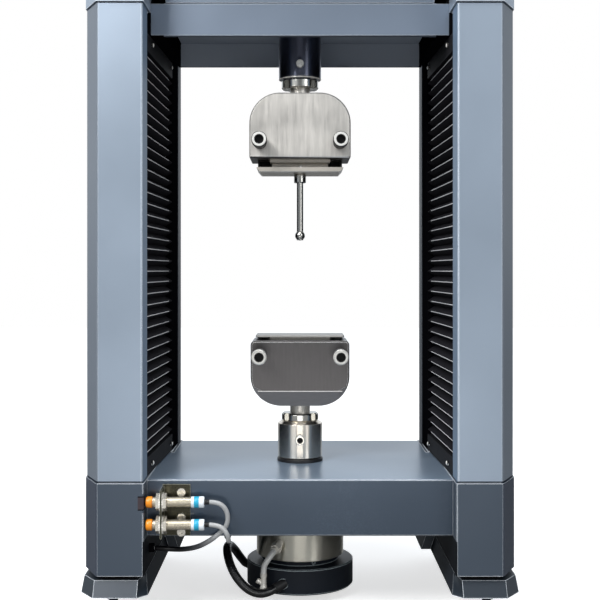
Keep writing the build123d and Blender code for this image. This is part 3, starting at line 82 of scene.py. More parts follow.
def material(
    name,
    color,
    metallic=0.0,
    rough=0.4,
    grain=None,
    tone=None,
    stretch=(1, 1, 1),
    rough_span=0.06,
    bevel=0.0,
    coat=0.0,
    rings=None,
    clouds=(9.0, 0.10),
    ior=None,
    edge_highlight=None,
    aniso=0.0,
    aniso_turn=0.0,
    specular=None,
):
    """A procedural surface. grain = (scale per metre, depth in metres), tone = how far
    the colour strays, stretch = scale of the grain along X, Y and Z, rings = (axis,
    pitch in metres, depth in metres) for turned or threaded surfaces."""
    made = bpy.data.materials.new(name)
    made.use_nodes = True
    tree = made.node_tree
    shader = next(n for n in tree.nodes if n.type == "BSDF_PRINCIPLED")
    shader.inputs["Metallic"].default_value = metallic
    if coat:
        shader.inputs["Coat Weight"].default_value = coat
        shader.inputs["Coat Roughness"].default_value = 0.12
    if ior:
        shader.inputs["IOR"].default_value = ior
    if specular is not None:
        shader.inputs["Specular IOR Level"].default_value = specular
    place = tree.nodes.new("ShaderNodeTexCoord")

    def noise(scale, detail, squash):
        mapping = tree.nodes.new("ShaderNodeMapping")
        mapping.inputs["Scale"].default_value = squash
        tree.links.new(place.outputs["Object"], mapping.inputs["Vector"])
        texture = tree.nodes.new("ShaderNodeTexNoise")
        texture.inputs["Scale"].default_value = scale
        texture.inputs["Detail"].default_value = detail
        tree.links.new(mapping.outputs["Vector"], texture.inputs["Vector"])
        return texture

    cloud_scale, cloud_depth = clouds
    cloud = noise(cloud_scale, 3.0, (1, 1, 1))
    fine = noise(grain[0] if grain else 400.0, 4.0, stretch)
    both = tree.nodes.new("ShaderNodeMix")
    both.data_type = "FLOAT"
    both.inputs["Factor"].default_value = 0.5
    tree.links.new(cloud.outputs["Fac"], both.inputs["A"])
    tree.links.new(fine.outputs["Fac"], both.inputs["B"])

    ramp = tree.nodes.new("ShaderNodeValToRGB")
    spread = tone if tone is not None else cloud_depth
    ramp.color_ramp.elements[0].position = 0.3
    ramp.color_ramp.elements[1].position = 0.7
    ramp.color_ramp.elements[0].color = [c * (1 - spread) for c in color[:3]] + [1]
    ramp.color_ramp.elements[1].color = [min(1, c * (1 + spread)) for c in color[:3]] + [1]
    tree.links.new(both.outputs["Result"], ramp.inputs["Fac"])
    tint = ramp.outputs["Color"]
    if aniso:
        shader.inputs["Anisotropic"].default_value = aniso
        shader.inputs["Anisotropic Rotation"].default_value = aniso_turn
    if edge_highlight:
        # painted highlight: a bright rim painted into the colour where the surface turns sharply, standing in for
        # light caught on rounded edges
        radius, highlight_colour, share = edge_highlight
        highlight_probe = tree.nodes.new("ShaderNodeBevel")
        highlight_probe.samples = 6
        highlight_probe.inputs["Radius"].default_value = radius
        plain = tree.nodes.new("ShaderNodeNewGeometry")
        dot = tree.nodes.new("ShaderNodeVectorMath")
        dot.operation = "DOT_PRODUCT"
        tree.links.new(highlight_probe.outputs["Normal"], dot.inputs[0])
        tree.links.new(plain.outputs["Normal"], dot.inputs[1])
        highlight_mask = tree.nodes.new("ShaderNodeMapRange")
        highlight_mask.inputs["From Min"].default_value = 0.996
        highlight_mask.inputs["From Max"].default_value = 0.95
        highlight_mask.inputs["To Min"].default_value = 0.0
        highlight_mask.inputs["To Max"].default_value = share
        tree.links.new(dot.outputs["Value"], highlight_mask.inputs["Value"])
        blend = tree.nodes.new("ShaderNodeMix")
        blend.data_type = "RGBA"
        blend.inputs["B"].default_value = highlight_colour
        tree.links.new(highlight_mask.outputs["Result"], blend.inputs["Factor"])
        tree.links.new(tint, blend.inputs["A"])
        tint = blend.outputs["Result"]
        highlight_metal = tree.nodes.new("ShaderNodeMapRange")
        highlight_metal.inputs["From Min"].default_value = 0.0
        highlight_metal.inputs["From Max"].default_value = 1.0
        highlight_metal.inputs["To Min"].default_value = metallic
        highlight_metal.inputs["To Max"].default_value = metallic * 0.2
        tree.links.new(highlight_mask.outputs["Result"], highlight_metal.inputs["Value"])
        tree.links.new(highlight_metal.outputs["Result"], shader.inputs["Metallic"])
    tree.links.new(tint, shader.inputs["Base Color"])

    span = tree.nodes.new("ShaderNodeMapRange")
    span.inputs["From Min"].default_value = 0.3
    span.inputs["From Max"].default_value = 0.7
    span.inputs["To Min"].default_value = max(0.02, rough - rough_span)
    span.inputs["To Max"].default_value = min(1.0, rough + rough_span)
    tree.links.new(both.outputs["Result"], span.inputs["Value"])
    tree.links.new(span.outputs["Result"], shader.inputs["Roughness"])

    normal = None
    if bevel:
        soft = tree.nodes.new("ShaderNodeBevel")
        soft.samples = 4
        soft.inputs["Radius"].default_value = bevel
        normal = soft.outputs["Normal"]
    if grain:
        bump = tree.nodes.new("ShaderNodeBump")
        bump.inputs["Distance"].default_value = grain[1]
        bump.inputs["Strength"].default_value = 1.0
        tree.links.new(fine.outputs["Fac"], bump.inputs["Height"])
        if normal:
            tree.links.new(normal, bump.inputs["Normal"])
        normal = bump.outputs["Normal"]
    if rings:
        axis, pitch, depth = rings
        split = tree.nodes.new("ShaderNodeSeparateXYZ")
        tree.links.new(place.outputs["Object"], split.inputs["Vector"])
        turn = tree.nodes.new("ShaderNodeMath")
        turn.operation = "MULTIPLY"
        turn.inputs[1].default_value = 2 * math.pi / pitch
        tree.links.new(split.outputs[axis], turn.inputs[0])
        wave = tree.nodes.new("ShaderNodeMath")
        wave.operation = "SINE"
        tree.links.new(turn.outputs["Value"], wave.inputs[0])
        bump = tree.nodes.new("ShaderNodeBump")
        bump.inputs["Distance"].default_value = depth
        tree.links.new(wave.outputs["Value"], bump.inputs["Height"])
        if normal:
            tree.links.new(normal, bump.inputs["Normal"])
        normal = bump.outputs["Normal"]
    if normal:
        tree.links.new(normal, shader.inputs["Normal"])
    return made


# colour of the painted highlight on edges
HIGHLIGHT_RIM = srgb(236, 242, 248)
EDGE = 0.0006
paint = material(
    "dark_paint", srgb(66, 76, 88), metallic=0.3, rough=0.36, grain=(2600, 0.00004),
    bevel=EDGE, tone=0.06, edge_highlight=(0.0011, HIGHLIGHT_RIM, 0.85),
)
table_paint = material(
    "table_paint", srgb(63, 75, 89), metallic=0.5, rough=0.24, grain=(2600, 0.00002),
    bevel=EDGE, tone=0.05, edge_highlight=(0.0009, HIGHLIGHT_RIM, 0.7), coat=0.35,
)
table_top_lit_paint = material(
    "table_top_lit_paint", srgb(122, 139, 158), metallic=0.35, rough=0.32,
    grain=(2600, 0.00002), bevel=EDGE, tone=0.05, edge_highlight=(0.0009, HIGHLIGHT_RIM, 0.7), coat=0.08,
)
skid_paint = material(
    "skid_paint", srgb(38, 46, 55), metallic=0.3, rough=0.4, grain=(2600, 0.00004),
    bevel=EDGE, tone=0.06, edge_highlight=(0.0011, HIGHLIGHT_RIM, 0.7),
)
leg_facet_shade = material(
    "leg_facet_shade", srgb(59, 65, 76), rough=0.55, specular=0.12, grain=(2600, 0.00003),
    tone=0.06,
)
plain_paint = material(
    "plain_paint", srgb(66, 76, 88), metallic=0.3, rough=0.36, grain=(2600, 0.00004),
    tone=0.06,
)
facet_shade_paint = material(
    "facet_shade_paint", srgb(104, 112, 122), metallic=0.15, rough=0.45, specular=0.2,
    grain=(2200, 0.00003), tone=0.05,
)
seam_shadow_paint = material("seam_shadow", srgb(22, 29, 40), rough=0.6, specular=0.1)
skid_shade = material(
    "skid_shade", srgb(30, 35, 42), rough=0.6, specular=0.1, grain=(2600, 0.00003)
)
inner_shade_paint = material(
    "inner_shade_paint", srgb(104, 122, 143), metallic=0.1, rough=0.5, specular=0.15,
    grain=(2200, 0.00003), tone=0.05,
)
cover_paint = material(
    "cover_paint", srgb(150, 163, 178), metallic=0.5, rough=0.36,
    grain=(2200, 0.00004), bevel=EDGE, tone=0.04, edge_highlight=(0.0012, HIGHLIGHT_RIM, 0.9),
)
crosshead_paint = material(
    "crosshead_paint", srgb(122, 134, 150), metallic=0.45, rough=0.33,
    grain=(2400, 0.00004), bevel=EDGE, tone=0.05, edge_highlight=(0.0009, HIGHLIGHT_RIM, 0.7),
)
grip_steel = material(
    "grip_steel", srgb(228, 224, 217), metallic=0.8, rough=0.38,
    grain=(110, 0.00005), stretch=(3.0, 3.0, 0.3), bevel=0.0006, tone=0.16,
    clouds=(26.0, 0.1), edge_highlight=(0.0008, srgb(240, 240, 236), 0.8),
)
lower_grip_steel = material(
    "lower_grip_steel", srgb(86, 84, 84), metallic=0.85, rough=0.34,
    grain=(120, 0.00005), stretch=(3.0, 3.0, 0.3), bevel=0.0006, tone=0.16,
    clouds=(26.0, 0.1), edge_highlight=(0.0009, srgb(235, 235, 235), 0.85),
)
lower_facet = material(
    "lower_facet", srgb(126, 122, 120), metallic=0.4, rough=0.45,
    grain=(300, 0.00003), stretch=(0.3, 3.0, 3.0), bevel=0.0006, tone=0.14,
)
crease_highlight = material("grip_crease_highlight", srgb(196, 194, 191), metallic=0.3, rough=0.4)
jaw_steel = material(
    "jaw_steel", srgb(216, 209, 198), metallic=0.65, rough=0.3, grain=(1500, 0.00002),
    bevel=0.0003,
)
anvil_steel = material(
    "anvil_steel", srgb(158, 157, 154), metallic=0.5, rough=0.4, grain=(1500, 0.00002),
    bevel=0.0003,
)
under_shade_steel = material(
    "under_shade_steel", srgb(92, 90, 88), metallic=0.9, rough=0.4, grain=(1500, 0.00002),
)
dark_shadow_steel = material(
    "dark_shadow_steel", srgb(30, 30, 30), metallic=0.6, rough=0.5, grain=(1500, 0.00002),
)
polished = material(
    "polished_steel", srgb(224, 221, 215), metallic=1.0, rough=0.28,
    grain=(1600, 0.000004), stretch=(0.3, 0.3, 6), bevel=0.0004, aniso=0.9,
    aniso_turn=0.25,
    edge_highlight=(0.0006, srgb(240, 240, 238), 0.5),
)
coupling_steel = material(
    "coupling_steel", srgb(240, 231, 217), metallic=1.0, rough=0.24,
    grain=(1600, 0.000004), stretch=(0.3, 0.3, 6), bevel=0.0004, aniso=0.9,
    aniso_turn=0.25, edge_highlight=(0.0006, srgb(250, 248, 240), 0.5),
)
housing_steel = material(
    "housing_steel", srgb(228, 224, 210), metallic=1.0, rough=0.38,
    grain=(1600, 0.000006), stretch=(0.3, 0.3, 6), bevel=0.0004, aniso=0.95,
    aniso_turn=0.25,
)
turned = material(
    "turned_steel", srgb(198, 196, 190), metallic=1.0, rough=0.18,
    grain=(2000, 0.000004), stretch=(0.3, 0.3, 6), bevel=0.0004,
)
bright = material(
    "bright_steel", srgb(195, 197, 200), metallic=1.0, rough=0.28,
    grain=(2000, 0.00001), bevel=0.0003,
)
blackened = material(
    "blackened_steel", srgb(38, 40, 46), metallic=0.8, rough=0.3,
    grain=(2400, 0.00002), bevel=0.0003,
)
screw_black = material(
    "screw_black", srgb(9, 9, 10), rough=0.5, specular=0.15, grain=(2400, 0.00004),
    bevel=0.0003,
)
screw_grey = material(
    "screw_grey", srgb(150, 150, 150), metallic=1.0, rough=0.32, grain=(2400, 0.00002),
    bevel=0.0003,
)
screw_ring = material(
    "screw_ring", srgb(232, 231, 226), metallic=0.4, rough=0.3, grain=(1800, 0.00005),
    bevel=0.0003,
)
socket_black = material(
    "socket_black", srgb(8, 8, 9), metallic=0.2, rough=0.6, grain=(2400, 0.00003),
)
adapter_black = material(
    "adapter_black", srgb(94, 98, 113), metallic=1.0, rough=0.34,
    grain=(2600, 0.000003), stretch=(0.4, 0.4, 5), bevel=0.0005, aniso=0.95,
    aniso_turn=0.25,
    edge_highlight=(0.0009, srgb(240, 240, 240), 0.9),
)
black_anodised = material(
    "black_anodised", srgb(30, 30, 33), rough=0.6, specular=0.03,
    grain=(2600, 0.00002), bevel=0.0004,
)
# painted shadow: near-black, matt finish for faces that stand where only shade is seen
shadow_black = material("shadow_black", srgb(10, 10, 13), rough=0.9, specular=0.0)
rear_step_shade = material(
    "rear_cover_step_shade", srgb(70, 75, 82), rough=0.5, specular=0.25, grain=(2200, 0.00002)
)
shaded_paint = material(
    "shaded_paint", srgb(15, 18, 23), rough=0.6, specular=0.08, grain=(2600, 0.00003)
)
under_lit_paint = material(
    "under_lit_paint", srgb(150, 158, 170), rough=0.6, specular=0.3, grain=(2400, 0.00003)
)
under_lip_shade = material(
    "under_lip_shade", srgb(70, 77, 88), rough=0.6, specular=0.3, grain=(2400, 0.00003)
)
drive_black = material(
    "drive_black", srgb(21, 26, 34), rough=0.34, specular=0.22, grain=(2600, 0.00001),
    bevel=0.0006, edge_highlight=(0.0011, srgb(205, 218, 222), 0.9),
)
black_plastic = material(
    "black_plastic", srgb(22, 22, 24), rough=0.45, grain=(2600, 0.00003), bevel=0.0003,
)
fabric = material(
    "bellows_fabric", srgb(28, 27, 31), rough=0.8, specular=0.02,
    grain=(1800, 0.00005), tone=0.25,
)
fold_highlight = material(
    "bellows_fold_highlight", srgb(186, 186, 188), rough=0.5, specular=0.3,
    grain=(900, 0.00004), tone=0.35, clouds=(30.0, 0.3),
)
rubber = material(
    "pad_rubber", srgb(10, 11, 13), rough=0.8, specular=0.2, grain=(1500, 0.00008)
)
jacket = material(
    "cable_jacket", srgb(12, 12, 14), rough=0.24, grain=(700, 0.00035), coat=0.4,
)
shade_jacket = material("shade_jacket", srgb(150, 152, 153), rough=0.3, coat=0.4)
# painted shade: the jacket darkens from light grey to near black along X, standing in for the shade under the
# table
_tree = shade_jacket.node_tree
_shader = next(n for n in _tree.nodes if n.type == "BSDF_PRINCIPLED")
_place = _tree.nodes.new("ShaderNodeNewGeometry")
_split = _tree.nodes.new("ShaderNodeSeparateXYZ")
_range = _tree.nodes.new("ShaderNodeMapRange")
_range.inputs["From Min"].default_value = -0.090
_range.inputs["From Max"].default_value = -0.136
_shade = _tree.nodes.new("ShaderNodeValToRGB")
_shade.color_ramp.elements[0].color = srgb(156, 158, 159)
_shade.color_ramp.elements[1].color = srgb(13, 13, 15)
_middle = _shade.color_ramp.elements.new(0.45)
_middle.color = srgb(74, 76, 78)
_tree.links.new(_place.outputs["Position"], _split.inputs[0])
_tree.links.new(_split.outputs["X"], _range.inputs["Value"])
_tree.links.new(_range.outputs["Result"], _shade.inputs["Fac"])
_tree.links.new(_shade.outputs["Color"], _shader.inputs["Base Color"])
sensor_jacket = material(
    "sensor_jacket", srgb(160, 162, 163), rough=0.28, grain=(1600, 0.00002),
    coat=0.5,
)
barrel = material(
    "sensor_barrel", srgb(222, 216, 202), metallic=0.85, rough=0.26,
    grain=(2000, 0.00001),
)
nickel = material(
    "nickel", srgb(222, 217, 206), metallic=0.75, rough=0.24, grain=(2000, 0.00001),
    bevel=0.0003,
)
bracket_steel = material(
    "bracket_steel", srgb(62, 60, 48), metallic=0.8, rough=0.28,
    grain=(1400, 0.00001), bevel=0.0003, tone=0.14,
    edge_highlight=(0.0005, srgb(200, 200, 180), 0.8),
)
fitting_bright = material(
    "fitting_bright", srgb(228, 224, 215), metallic=0.3, rough=0.26,
    grain=(1400, 0.00003), bevel=0.0003,
)
ring_grey = material(
    "ring_grey", srgb(196, 195, 190), metallic=0.5, rough=0.38, grain=(1500, 0.00012),
    tone=0.2,
)
washer_steel = material(
    "washer_steel", srgb(240, 237, 230), metallic=0.3, rough=0.3, grain=(900, 0.00004)
)
target_brown = material(
    "target_brown", srgb(58, 48, 52), rough=0.45, specular=0.3, grain=(1200, 0.00003)
)
orange = material("orange_plastic", srgb(232, 140, 24), rough=0.35, coat=0.2)
white_plastic = material("white_plastic", srgb(226, 232, 238), rough=0.35)
cyan_plastic = material("cyan_plastic", srgb(30, 160, 196), rough=0.35)
socket_plastic = material("socket_plastic", srgb(20, 20, 22), rough=0.45)
braid_look = material(
    "braid", srgb(222, 222, 219), metallic=0.2, rough=0.28, grain=(2400, 0.00002)
)

LOOKS = {
    "table_beam": table_paint,
    "leg_housings": paint,
    "skid_feet": skid_paint,
    "isolation_pads": rubber,
    "levelling_feet": blackened,
    "front_covers": cover_paint,
    "rear_covers": cover_paint,
    "head_housings": cover_paint,
    "crown_beam": paint,
    "guide_rods": polished,
    "frame_bolts": blackened,
    "ball_screw_left": turned,
    "ball_screw_right": turned,
    "motor_pulley_left": bright,
    "motor_pulley_right": bright,
    "drive_motors": black_anodised,
    "drive_belts": rubber,
    "bearings": bright,
    "bellows_frames": black_anodised,
    "bellows_bars": black_anodised,
    "crosshead_beam": crosshead_paint,
    "crosshead_cover": crosshead_paint,
    "load_cell": bright,
    "ball_nuts": bright,
    "guide_bushes": bright,
    "upper_adapter": adapter_black,
    "upper_locknut": turned,
    "upper_cross_screw": screw_black,
    "upper_grip_body": grip_steel,
    "upper_clamp_plate": grip_steel,
    "upper_clamp_screw_left": screw_black,
    "upper_clamp_screw_right": screw_black,
    "tool_plate": jaw_steel,
    "stylus": turned,
    "anvil_plate": anvil_steel,
    "lower_grip_body": lower_grip_steel,
    "lower_clamp_plate": lower_grip_steel,
    "lower_clamp_screw_left": screw_black,
    "lower_clamp_screw_right": screw_black,
    "lower_locknut": turned,
    "lower_cross_screw": screw_black,
    "coupling": coupling_steel,
    "spindle": bright,
    "seal_ring": black_plastic,
    "bearing_housing": housing_steel,
    "rotary_drive": drive_black,
    "cable_fittings": nickel,
    "proximity_sensors": barrel,
    "sensor_nuts": nickel,
    "sensor_bracket": bracket_steel,
    "bracket_screws": nickel,
    "sensor_target": dark_shadow_steel,
    "connector_panel": socket_plastic,
}
for name, obj in NODES.items():
    obj.data.materials.clear()
    obj.data.materials.append(LOOKS.get(name, jacket))


# ------------------------------------------------------------------ mesh helpers
def mesh_object(name, bm, *looks):
    data = bpy.data.meshes.new(name)
    bm.normal_update()
    bm.to_mesh(data)
    bm.free()
    for look in looks:
        data.materials.append(look)
    obj = bpy.data.objects.new(name, data)
    scene.collection.objects.link(obj)
    return obj


def axis_frame(origin, axis):
    """Matrix that takes +Z to the axis and the origin to the given point."""
    turn = Vector(axis).normalized().to_track_quat("Z", "Y").to_matrix().to_4x4()
    return Matrix.Translation(Vector(origin)) @ turn


def lathe(name, line, origin, axis, look, segments=48, body="frame", smooth=35):
    """Turned piece. line holds (distance along the axis, radius) in millimetres."""
    bm = bmesh.new()
    loops = []
    for along, radius in line:
        if radius < 1e-6:
            loops.append([bm.verts.new((0, 0, along * MM))])
            continue
        loops.append(
            [
                bm.verts.new(
                    (
                        radius * MM * math.cos(2 * math.pi * i / segments),
                        radius * MM * math.sin(2 * math.pi * i / segments),
                        along * MM,
                    )
                )
                for i in range(segments)
            ]
        )
    for a, b in zip(loops, loops[1:]):
        for i in range(segments):
            j = (i + 1) % segments
            if len(a) == 1 and len(b) == 1:
                continue
            if len(a) == 1:
                bm.faces.new((a[0], b[j], b[i]))
            elif len(b) == 1:
                bm.faces.new((a[i], a[j], b[0]))
            else:
                bm.faces.new((a[i], a[j], b[j], b[i]))
    bmesh.ops.recalc_face_normals(bm, faces=bm.faces)
    bm.transform(axis_frame(origin, axis))
    obj = mesh_object(name, bm, look)
    obj.data.shade_smooth()
    obj.data.set_sharp_from_angle(angle=math.radians(smooth))
    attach(obj, body)
    return obj


def split_piece(node, look, other, rule, body, name=None, cuts=()):
    """A copy of a CAD node's mesh whose faces take a second finish where rule says so.
    cuts holds planes, as (point in millimetres, normal), along which faces part first."""
    data = NODES[node].data.copy()
    if cuts:
        bm = bmesh.new()
        bm.from_mesh(data)
        for point, normal in cuts:
            bmesh.ops.bisect_plane(
                bm,
                geom=bm.verts[:] + bm.edges[:] + bm.faces[:],
                plane_co=[c * MM for c in point],
                plane_no=normal,
                dist=1e-7,
            )
        bm.to_mesh(data)
        bm.free()
    data.materials.clear()
    data.materials.append(look)
    for extra in other:
        data.materials.append(extra)
    for face in data.polygons:
        face.material_index = rule(face.center * 1000, face.normal)
    obj = bpy.data.objects.new(name or node + "_finished", data)
    scene.collection.objects.link(obj)
    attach(obj, body)
    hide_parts(node)
    return obj


def curve_piece(name, points, diameter, look, body, replaces=()):
    """Round cord through the route's points, in millimetres."""
    data = bpy.data.curves.new(name, "CURVE")
    data.dimensions = "3D"
    data.bevel_depth = diameter / 2 * MM
    data.bevel_resolution = 6
    data.resolution_u = 16
    data.use_fill_caps = True
    spline = data.splines.new("NURBS")
    spline.points.add(len(points) - 1)
    for point, place in zip(spline.points, points):
        point.co = (*(c * MM for c in place), 1)
    spline.order_u = 3
    spline.use_endpoint_u = True
    data.materials.append(look)
    obj = bpy.data.objects.new(name, data)
    scene.collection.objects.link(obj)
    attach(obj, body)
    if replaces:
        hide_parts(*replaces)
    return obj


def spline_length(points):
    """Length of the NURBS line through the points, in metres."""
    data = bpy.data.curves.new("measure", "CURVE")
    data.dimensions = "3D"
    data.resolution_u = 16
    spline = data.splines.new("NURBS")
    spline.points.add(len(points) - 1)
    for point, place in zip(spline.points, points):
        point.co = (*(c * MM for c in place), 1)
    spline.order_u = 3
    spline.use_endpoint_u = True
    obj = bpy.data.objects.new("measure", data)
    line = bpy.data.meshes.new_from_object(obj)
    total = sum(
        (line.vertices[e.vertices[0]].co - line.vertices[e.vertices[1]].co).length
        for e in line.edges
    )
    path = [list(v.co) for v in line.vertices]
    bpy.data.objects.remove(obj)
    bpy.data.curves.remove(data)
    bpy.data.meshes.remove(line)
    return total, path


# ------------------------------------------------------------------ cords
power_seat = Vector((-17.5, -58.5, 24.0))
power_way = Vector((-0.80, -0.50, -0.33)).normalized()
signal_seat = Vector((-23.0, -45.0, 68.0))
signal_way = Vector((-0.42, -0.80, -0.42)).normalized()
elbow_x, elbow_y = -42.2, -62.0

power_route = [
    tuple(power_seat + power_way * 15),
    tuple(power_seat + power_way * 28),
    (-55.5, -72.5, 17.0),
    (-68.5, -70.5, 27.0),
    (-79.0, -66.0, 41.5),
    (-85.5, -53.0, 57.0),
    (-86.0, -30.0, 62.5),
    (-80.5, -8.0, 53.0),
    (-73.5, 12.0, 36.0),
    (-66.0, 32.0, 20.5),
    (-52.5, 55.0, 15.5),
    (-36.0, 73.5, 20.5),
    (-22.0, 81.0, 38.0),
    (-14.6, 80.4, 58.0),
    (-14.0, 80.0, 79.4),
]
signal_route = [
    tuple(signal_seat + signal_way * 17),
    tuple(signal_seat + signal_way * 21.5),
    (-38.2, -64.6, 50.8),
    (elbow_x, elbow_y, 43.5),
    (elbow_x, elbow_y, 36.0),
]
upper_route = [
    (-98.25, -144.0, 135.9),
    (-88.5, -144.0, 135.6),
    (-80.6, -142.5, 128.4),
    (-78.0, -140.2, 118.0),
    (-80.6, -137.6, 107.5),
    (-88.6, -136.0, 99.4),
    (-99.5, -132.0, 90.5),
    (-113.5, -122.5, 81.5),
    (-130.0, -112.5, 76.5),
    (-147.0, -107.5, 75.6),
    (-162.7, -106.0, 77.0),
]
lower_route = [
    (-98.25, -144.0, 111.3),
    (-89.5, -144.9, 110.9),
    (-82.3, -145.4, 106.8),
    (-78.3, -144.8, 99.6),
    (-77.7, -140.4, 92.9),
    (-78.3, -132.0, 90.4),
    (-79.4, -122.5, 90.6),
    (-80.6, -112.5, 91.2),
]


def shade_sheath(name, route, first, last, radius, look):
    """Tube over a stretch of a cord, along the route's own curve, that carries painted shade."""
    total, path = spline_length(route)
    points = [Vector(p) for p in path]
    gone, along = 0.0, []
    for p, q in zip(points, points[1:]):
        if first * total <= gone <= last * total:
            along.append(p)
        gone += (q - p).length
    if last >= 1:
        along.append(points[-1])
    bm = bmesh.new()
    up, loops = Vector((0, 1, 0)), []
    for k, place in enumerate(along):
        way = (along[min(k + 1, len(along) - 1)] - along[max(k - 1, 0)]).normalized()
        side = (up - way * up.dot(way)).normalized()
        other = way.cross(side)
        up = side
        end = k in (0, len(along) - 1)
        r = radius * MM * (0.9 if end else 1.0)
        loops.append(
            [
                bm.verts.new(
                    place
                    + side * math.cos(math.tau * i / 24) * r
                    + other * math.sin(math.tau * i / 24) * r
                )
                for i in range(24)
            ]
        )
    for one, two in zip(loops, loops[1:]):
        for i in range(24):
            j = (i + 1) % 24
            bm.faces.new((one[i], one[j], two[j], two[i]))
    bm.faces.new(loops[0][::-1])
    bm.faces.new(loops[-1])
    bmesh.ops.recalc_face_normals(bm, faces=bm.faces)
    obj = mesh_object(name, bm, look)
    obj.data.shade_smooth()
    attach(obj, "frame")
    return obj


# painted shade: a tube over the lower part of the upper sensor cable carries the darkening
painted_shade_sheath = shade_sheath(
    "sensor_cable_shade_sheath", upper_route, 0.42, 1.0, 2.8, shade_jacket
)
for name, route, diameter, look, stiff in (
    ("power_cable_flex", power_route, 10.0, jacket, "stiff"),
    ("sensor_cable_upper_flex", upper_route, 5.2, sensor_jacket, "medium"),
    ("sensor_cable_lower_flex", lower_route, 5.2, sensor_jacket, "medium"),
):
    piece = curve_piece(
        name, route, diameter, look, "frame", (name[: -len("_flex")],)
    )
    length, _ = spline_length(route)
    [c * MM for c in route[0]]


# ------------------------------------------------------------------ braided line
def braided_tube(name, route, radius, body, node):
    """Tube whose surface is woven from crossing strands, along the route's spline."""
    _, path = spline_length(route)
    points = [Vector(p) for p in path]
    turns, around = 220, 48
    total = sum((b - a).length for a, b in zip(points, points[1:]))

    def at(share):
        want, gone = share * total, 0.0
        for a, b in zip(points, points[1:]):
            step = (b - a).length
            if gone + step >= want or b is points[-1]:
                return a.lerp(b, min(1.0, max(0.0, (want - gone) / step))), (b - a).normalized()
            gone += step

    bm = bmesh.new()
    up = Vector((1, 0, 0))
    loops = []
    for k in range(turns + 1):
        place, way = at(k / turns)
        side = (up - way * up.dot(way)).normalized()
        other = way.cross(side)
        up = side
        loop = []
        for i in range(around):
            angle = 2 * math.pi * i / around
            along = k / turns * total
            strand = math.sin(8 * angle + along / 0.00062) * math.sin(8 * angle - along / 0.00062)
            r = radius * MM + 0.00012 * strand
            loop.append(
                bm.verts.new(place + side * math.cos(angle) * r + other * math.sin(angle) * r)
            )
        loops.append(loop)
    for a, b in zip(loops, loops[1:]):
        for i in range(around):
            j = (i + 1) % around
            bm.faces.new((a[i], a[j], b[j], b[i]))
    bm.faces.new(loops[0][::-1])
    bm.faces.new(loops[-1])
    bmesh.ops.recalc_face_normals(bm, faces=bm.faces)
    obj = mesh_object(name, bm, braid_look)
    obj.data.shade_smooth()
    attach(obj, body)
    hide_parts(node)
    return obj


braided_tube("signal_hose", signal_route, 3.3, "frame", "signal_cable")


lathe(
    "signal_nut_collar",
    [
        (7.0, 3.0), (7.0, 5.0), (7.6, 5.6), (11.4, 5.6), (11.9, 5.0), (12.5, 4.8),
        (16.6, 4.4), (17.4, 3.6), (17.4, 3.0), (7.0, 3.0),
    ],
    [c * MM for c in signal_seat], tuple(signal_way), fitting_bright, segments=6,
    smooth=20,
)


def fitting_rule(centre, normal):
    """Metal only for the signal line's nut and elbow, black for the glands, and painted shadow in near-black on
    the gland at the left leg.
    """
    to_seat = (centre - power_seat).length
    if centre.x < -150:
        return 2
    if centre.x < -60 or centre.y > 0 or to_seat < 17:
        return 1
    return 0


split_piece(
    "cable_fittings", fitting_bright, (black_plastic, shadow_black), fitting_rule,
    "frame",
)


# ------------------------------------------------------------------ bellows
def bellows(name, node, start, end, folds, y_from, y_to, anchor, other):
    """Folded cover on both sides: sharp outer creases, soft inner ones, thin cloth."""
    front, rear = (170.3, -111.5), (163.3, 69.5)

    def face_x(y):
        share = (y - front[1]) / (rear[1] - front[1])
        return front[0] + share * (rear[0] - front[0])

    bm = bmesh.new()
    step = (end - start) / (2 * folds)
    line = []
    for i in range(2 * folds + 1):
        z = start + i * step
        if i % 2 == 0:
            line.append((9.0, z))
        else:
            flat = min(0.5, step * 0.1)
            line += [(0.3, z - flat), (0.0, z), (0.3, z + flat)]
    columns = 14
    for side in (1, -1):
        rows = []
        for depth, z in line:
            row = []
            for k in range(columns + 1):
                y = y_from + (y_to - y_from) * k / columns
                wave = 0.25 * math.sin(k * 1.7 + z * 0.05) * (1 if depth < 1 else 0.2)
                x = face_x(y) + depth + max(0.0, wave)
                row.append(bm.verts.new((side * x * MM, y * MM, z * MM)))
            rows.append(row)
        back = []
        for depth, z in line:
            row = []
            for k in range(columns + 1):
                y = y_from + (y_to - y_from) * k / columns
                x = face_x(y) + depth + 1.5
                row.append(bm.verts.new((side * x * MM, y * MM, z * MM)))
            back.append(row)
        for rows_now, flip in ((rows, False), (back, True)):
            for a, b in zip(rows_now, rows_now[1:]):
                for k in range(columns):
                    quad = (a[k], a[k + 1], b[k + 1], b[k])
                    bm.faces.new(quad[::-1] if flip else quad)
        for k in range(columns):
            bm.faces.new((rows[0][k], back[0][k], back[0][k + 1], rows[0][k + 1]))
            bm.faces.new((rows[-1][k], rows[-1][k + 1], back[-1][k + 1], back[-1][k]))
        for a, b, c, d in zip(rows, rows[1:], back, back[1:]):
            bm.faces.new((a[0], b[0], d[0], c[0]))
            bm.faces.new((a[-1], c[-1], d[-1], b[-1]))
    bmesh.ops.recalc_face_normals(bm, faces=bm.faces)
    obj = mesh_object(name, bm, fabric, fold_highlight)
    # painted highlight: the fold tips on the front part of the bellows take a light grey finish
    for face in obj.data.polygons:
        spot = face.center * 1000
        away = abs(spot.x) - face_x(spot.y)
        if away < 0.7 and abs(face.normal.x) > 0.3 and spot.y < 46:
            face.material_index = 1
    obj.data.shade_smooth()
    obj.data.set_sharp_from_angle(angle=math.radians(40))
    return obj


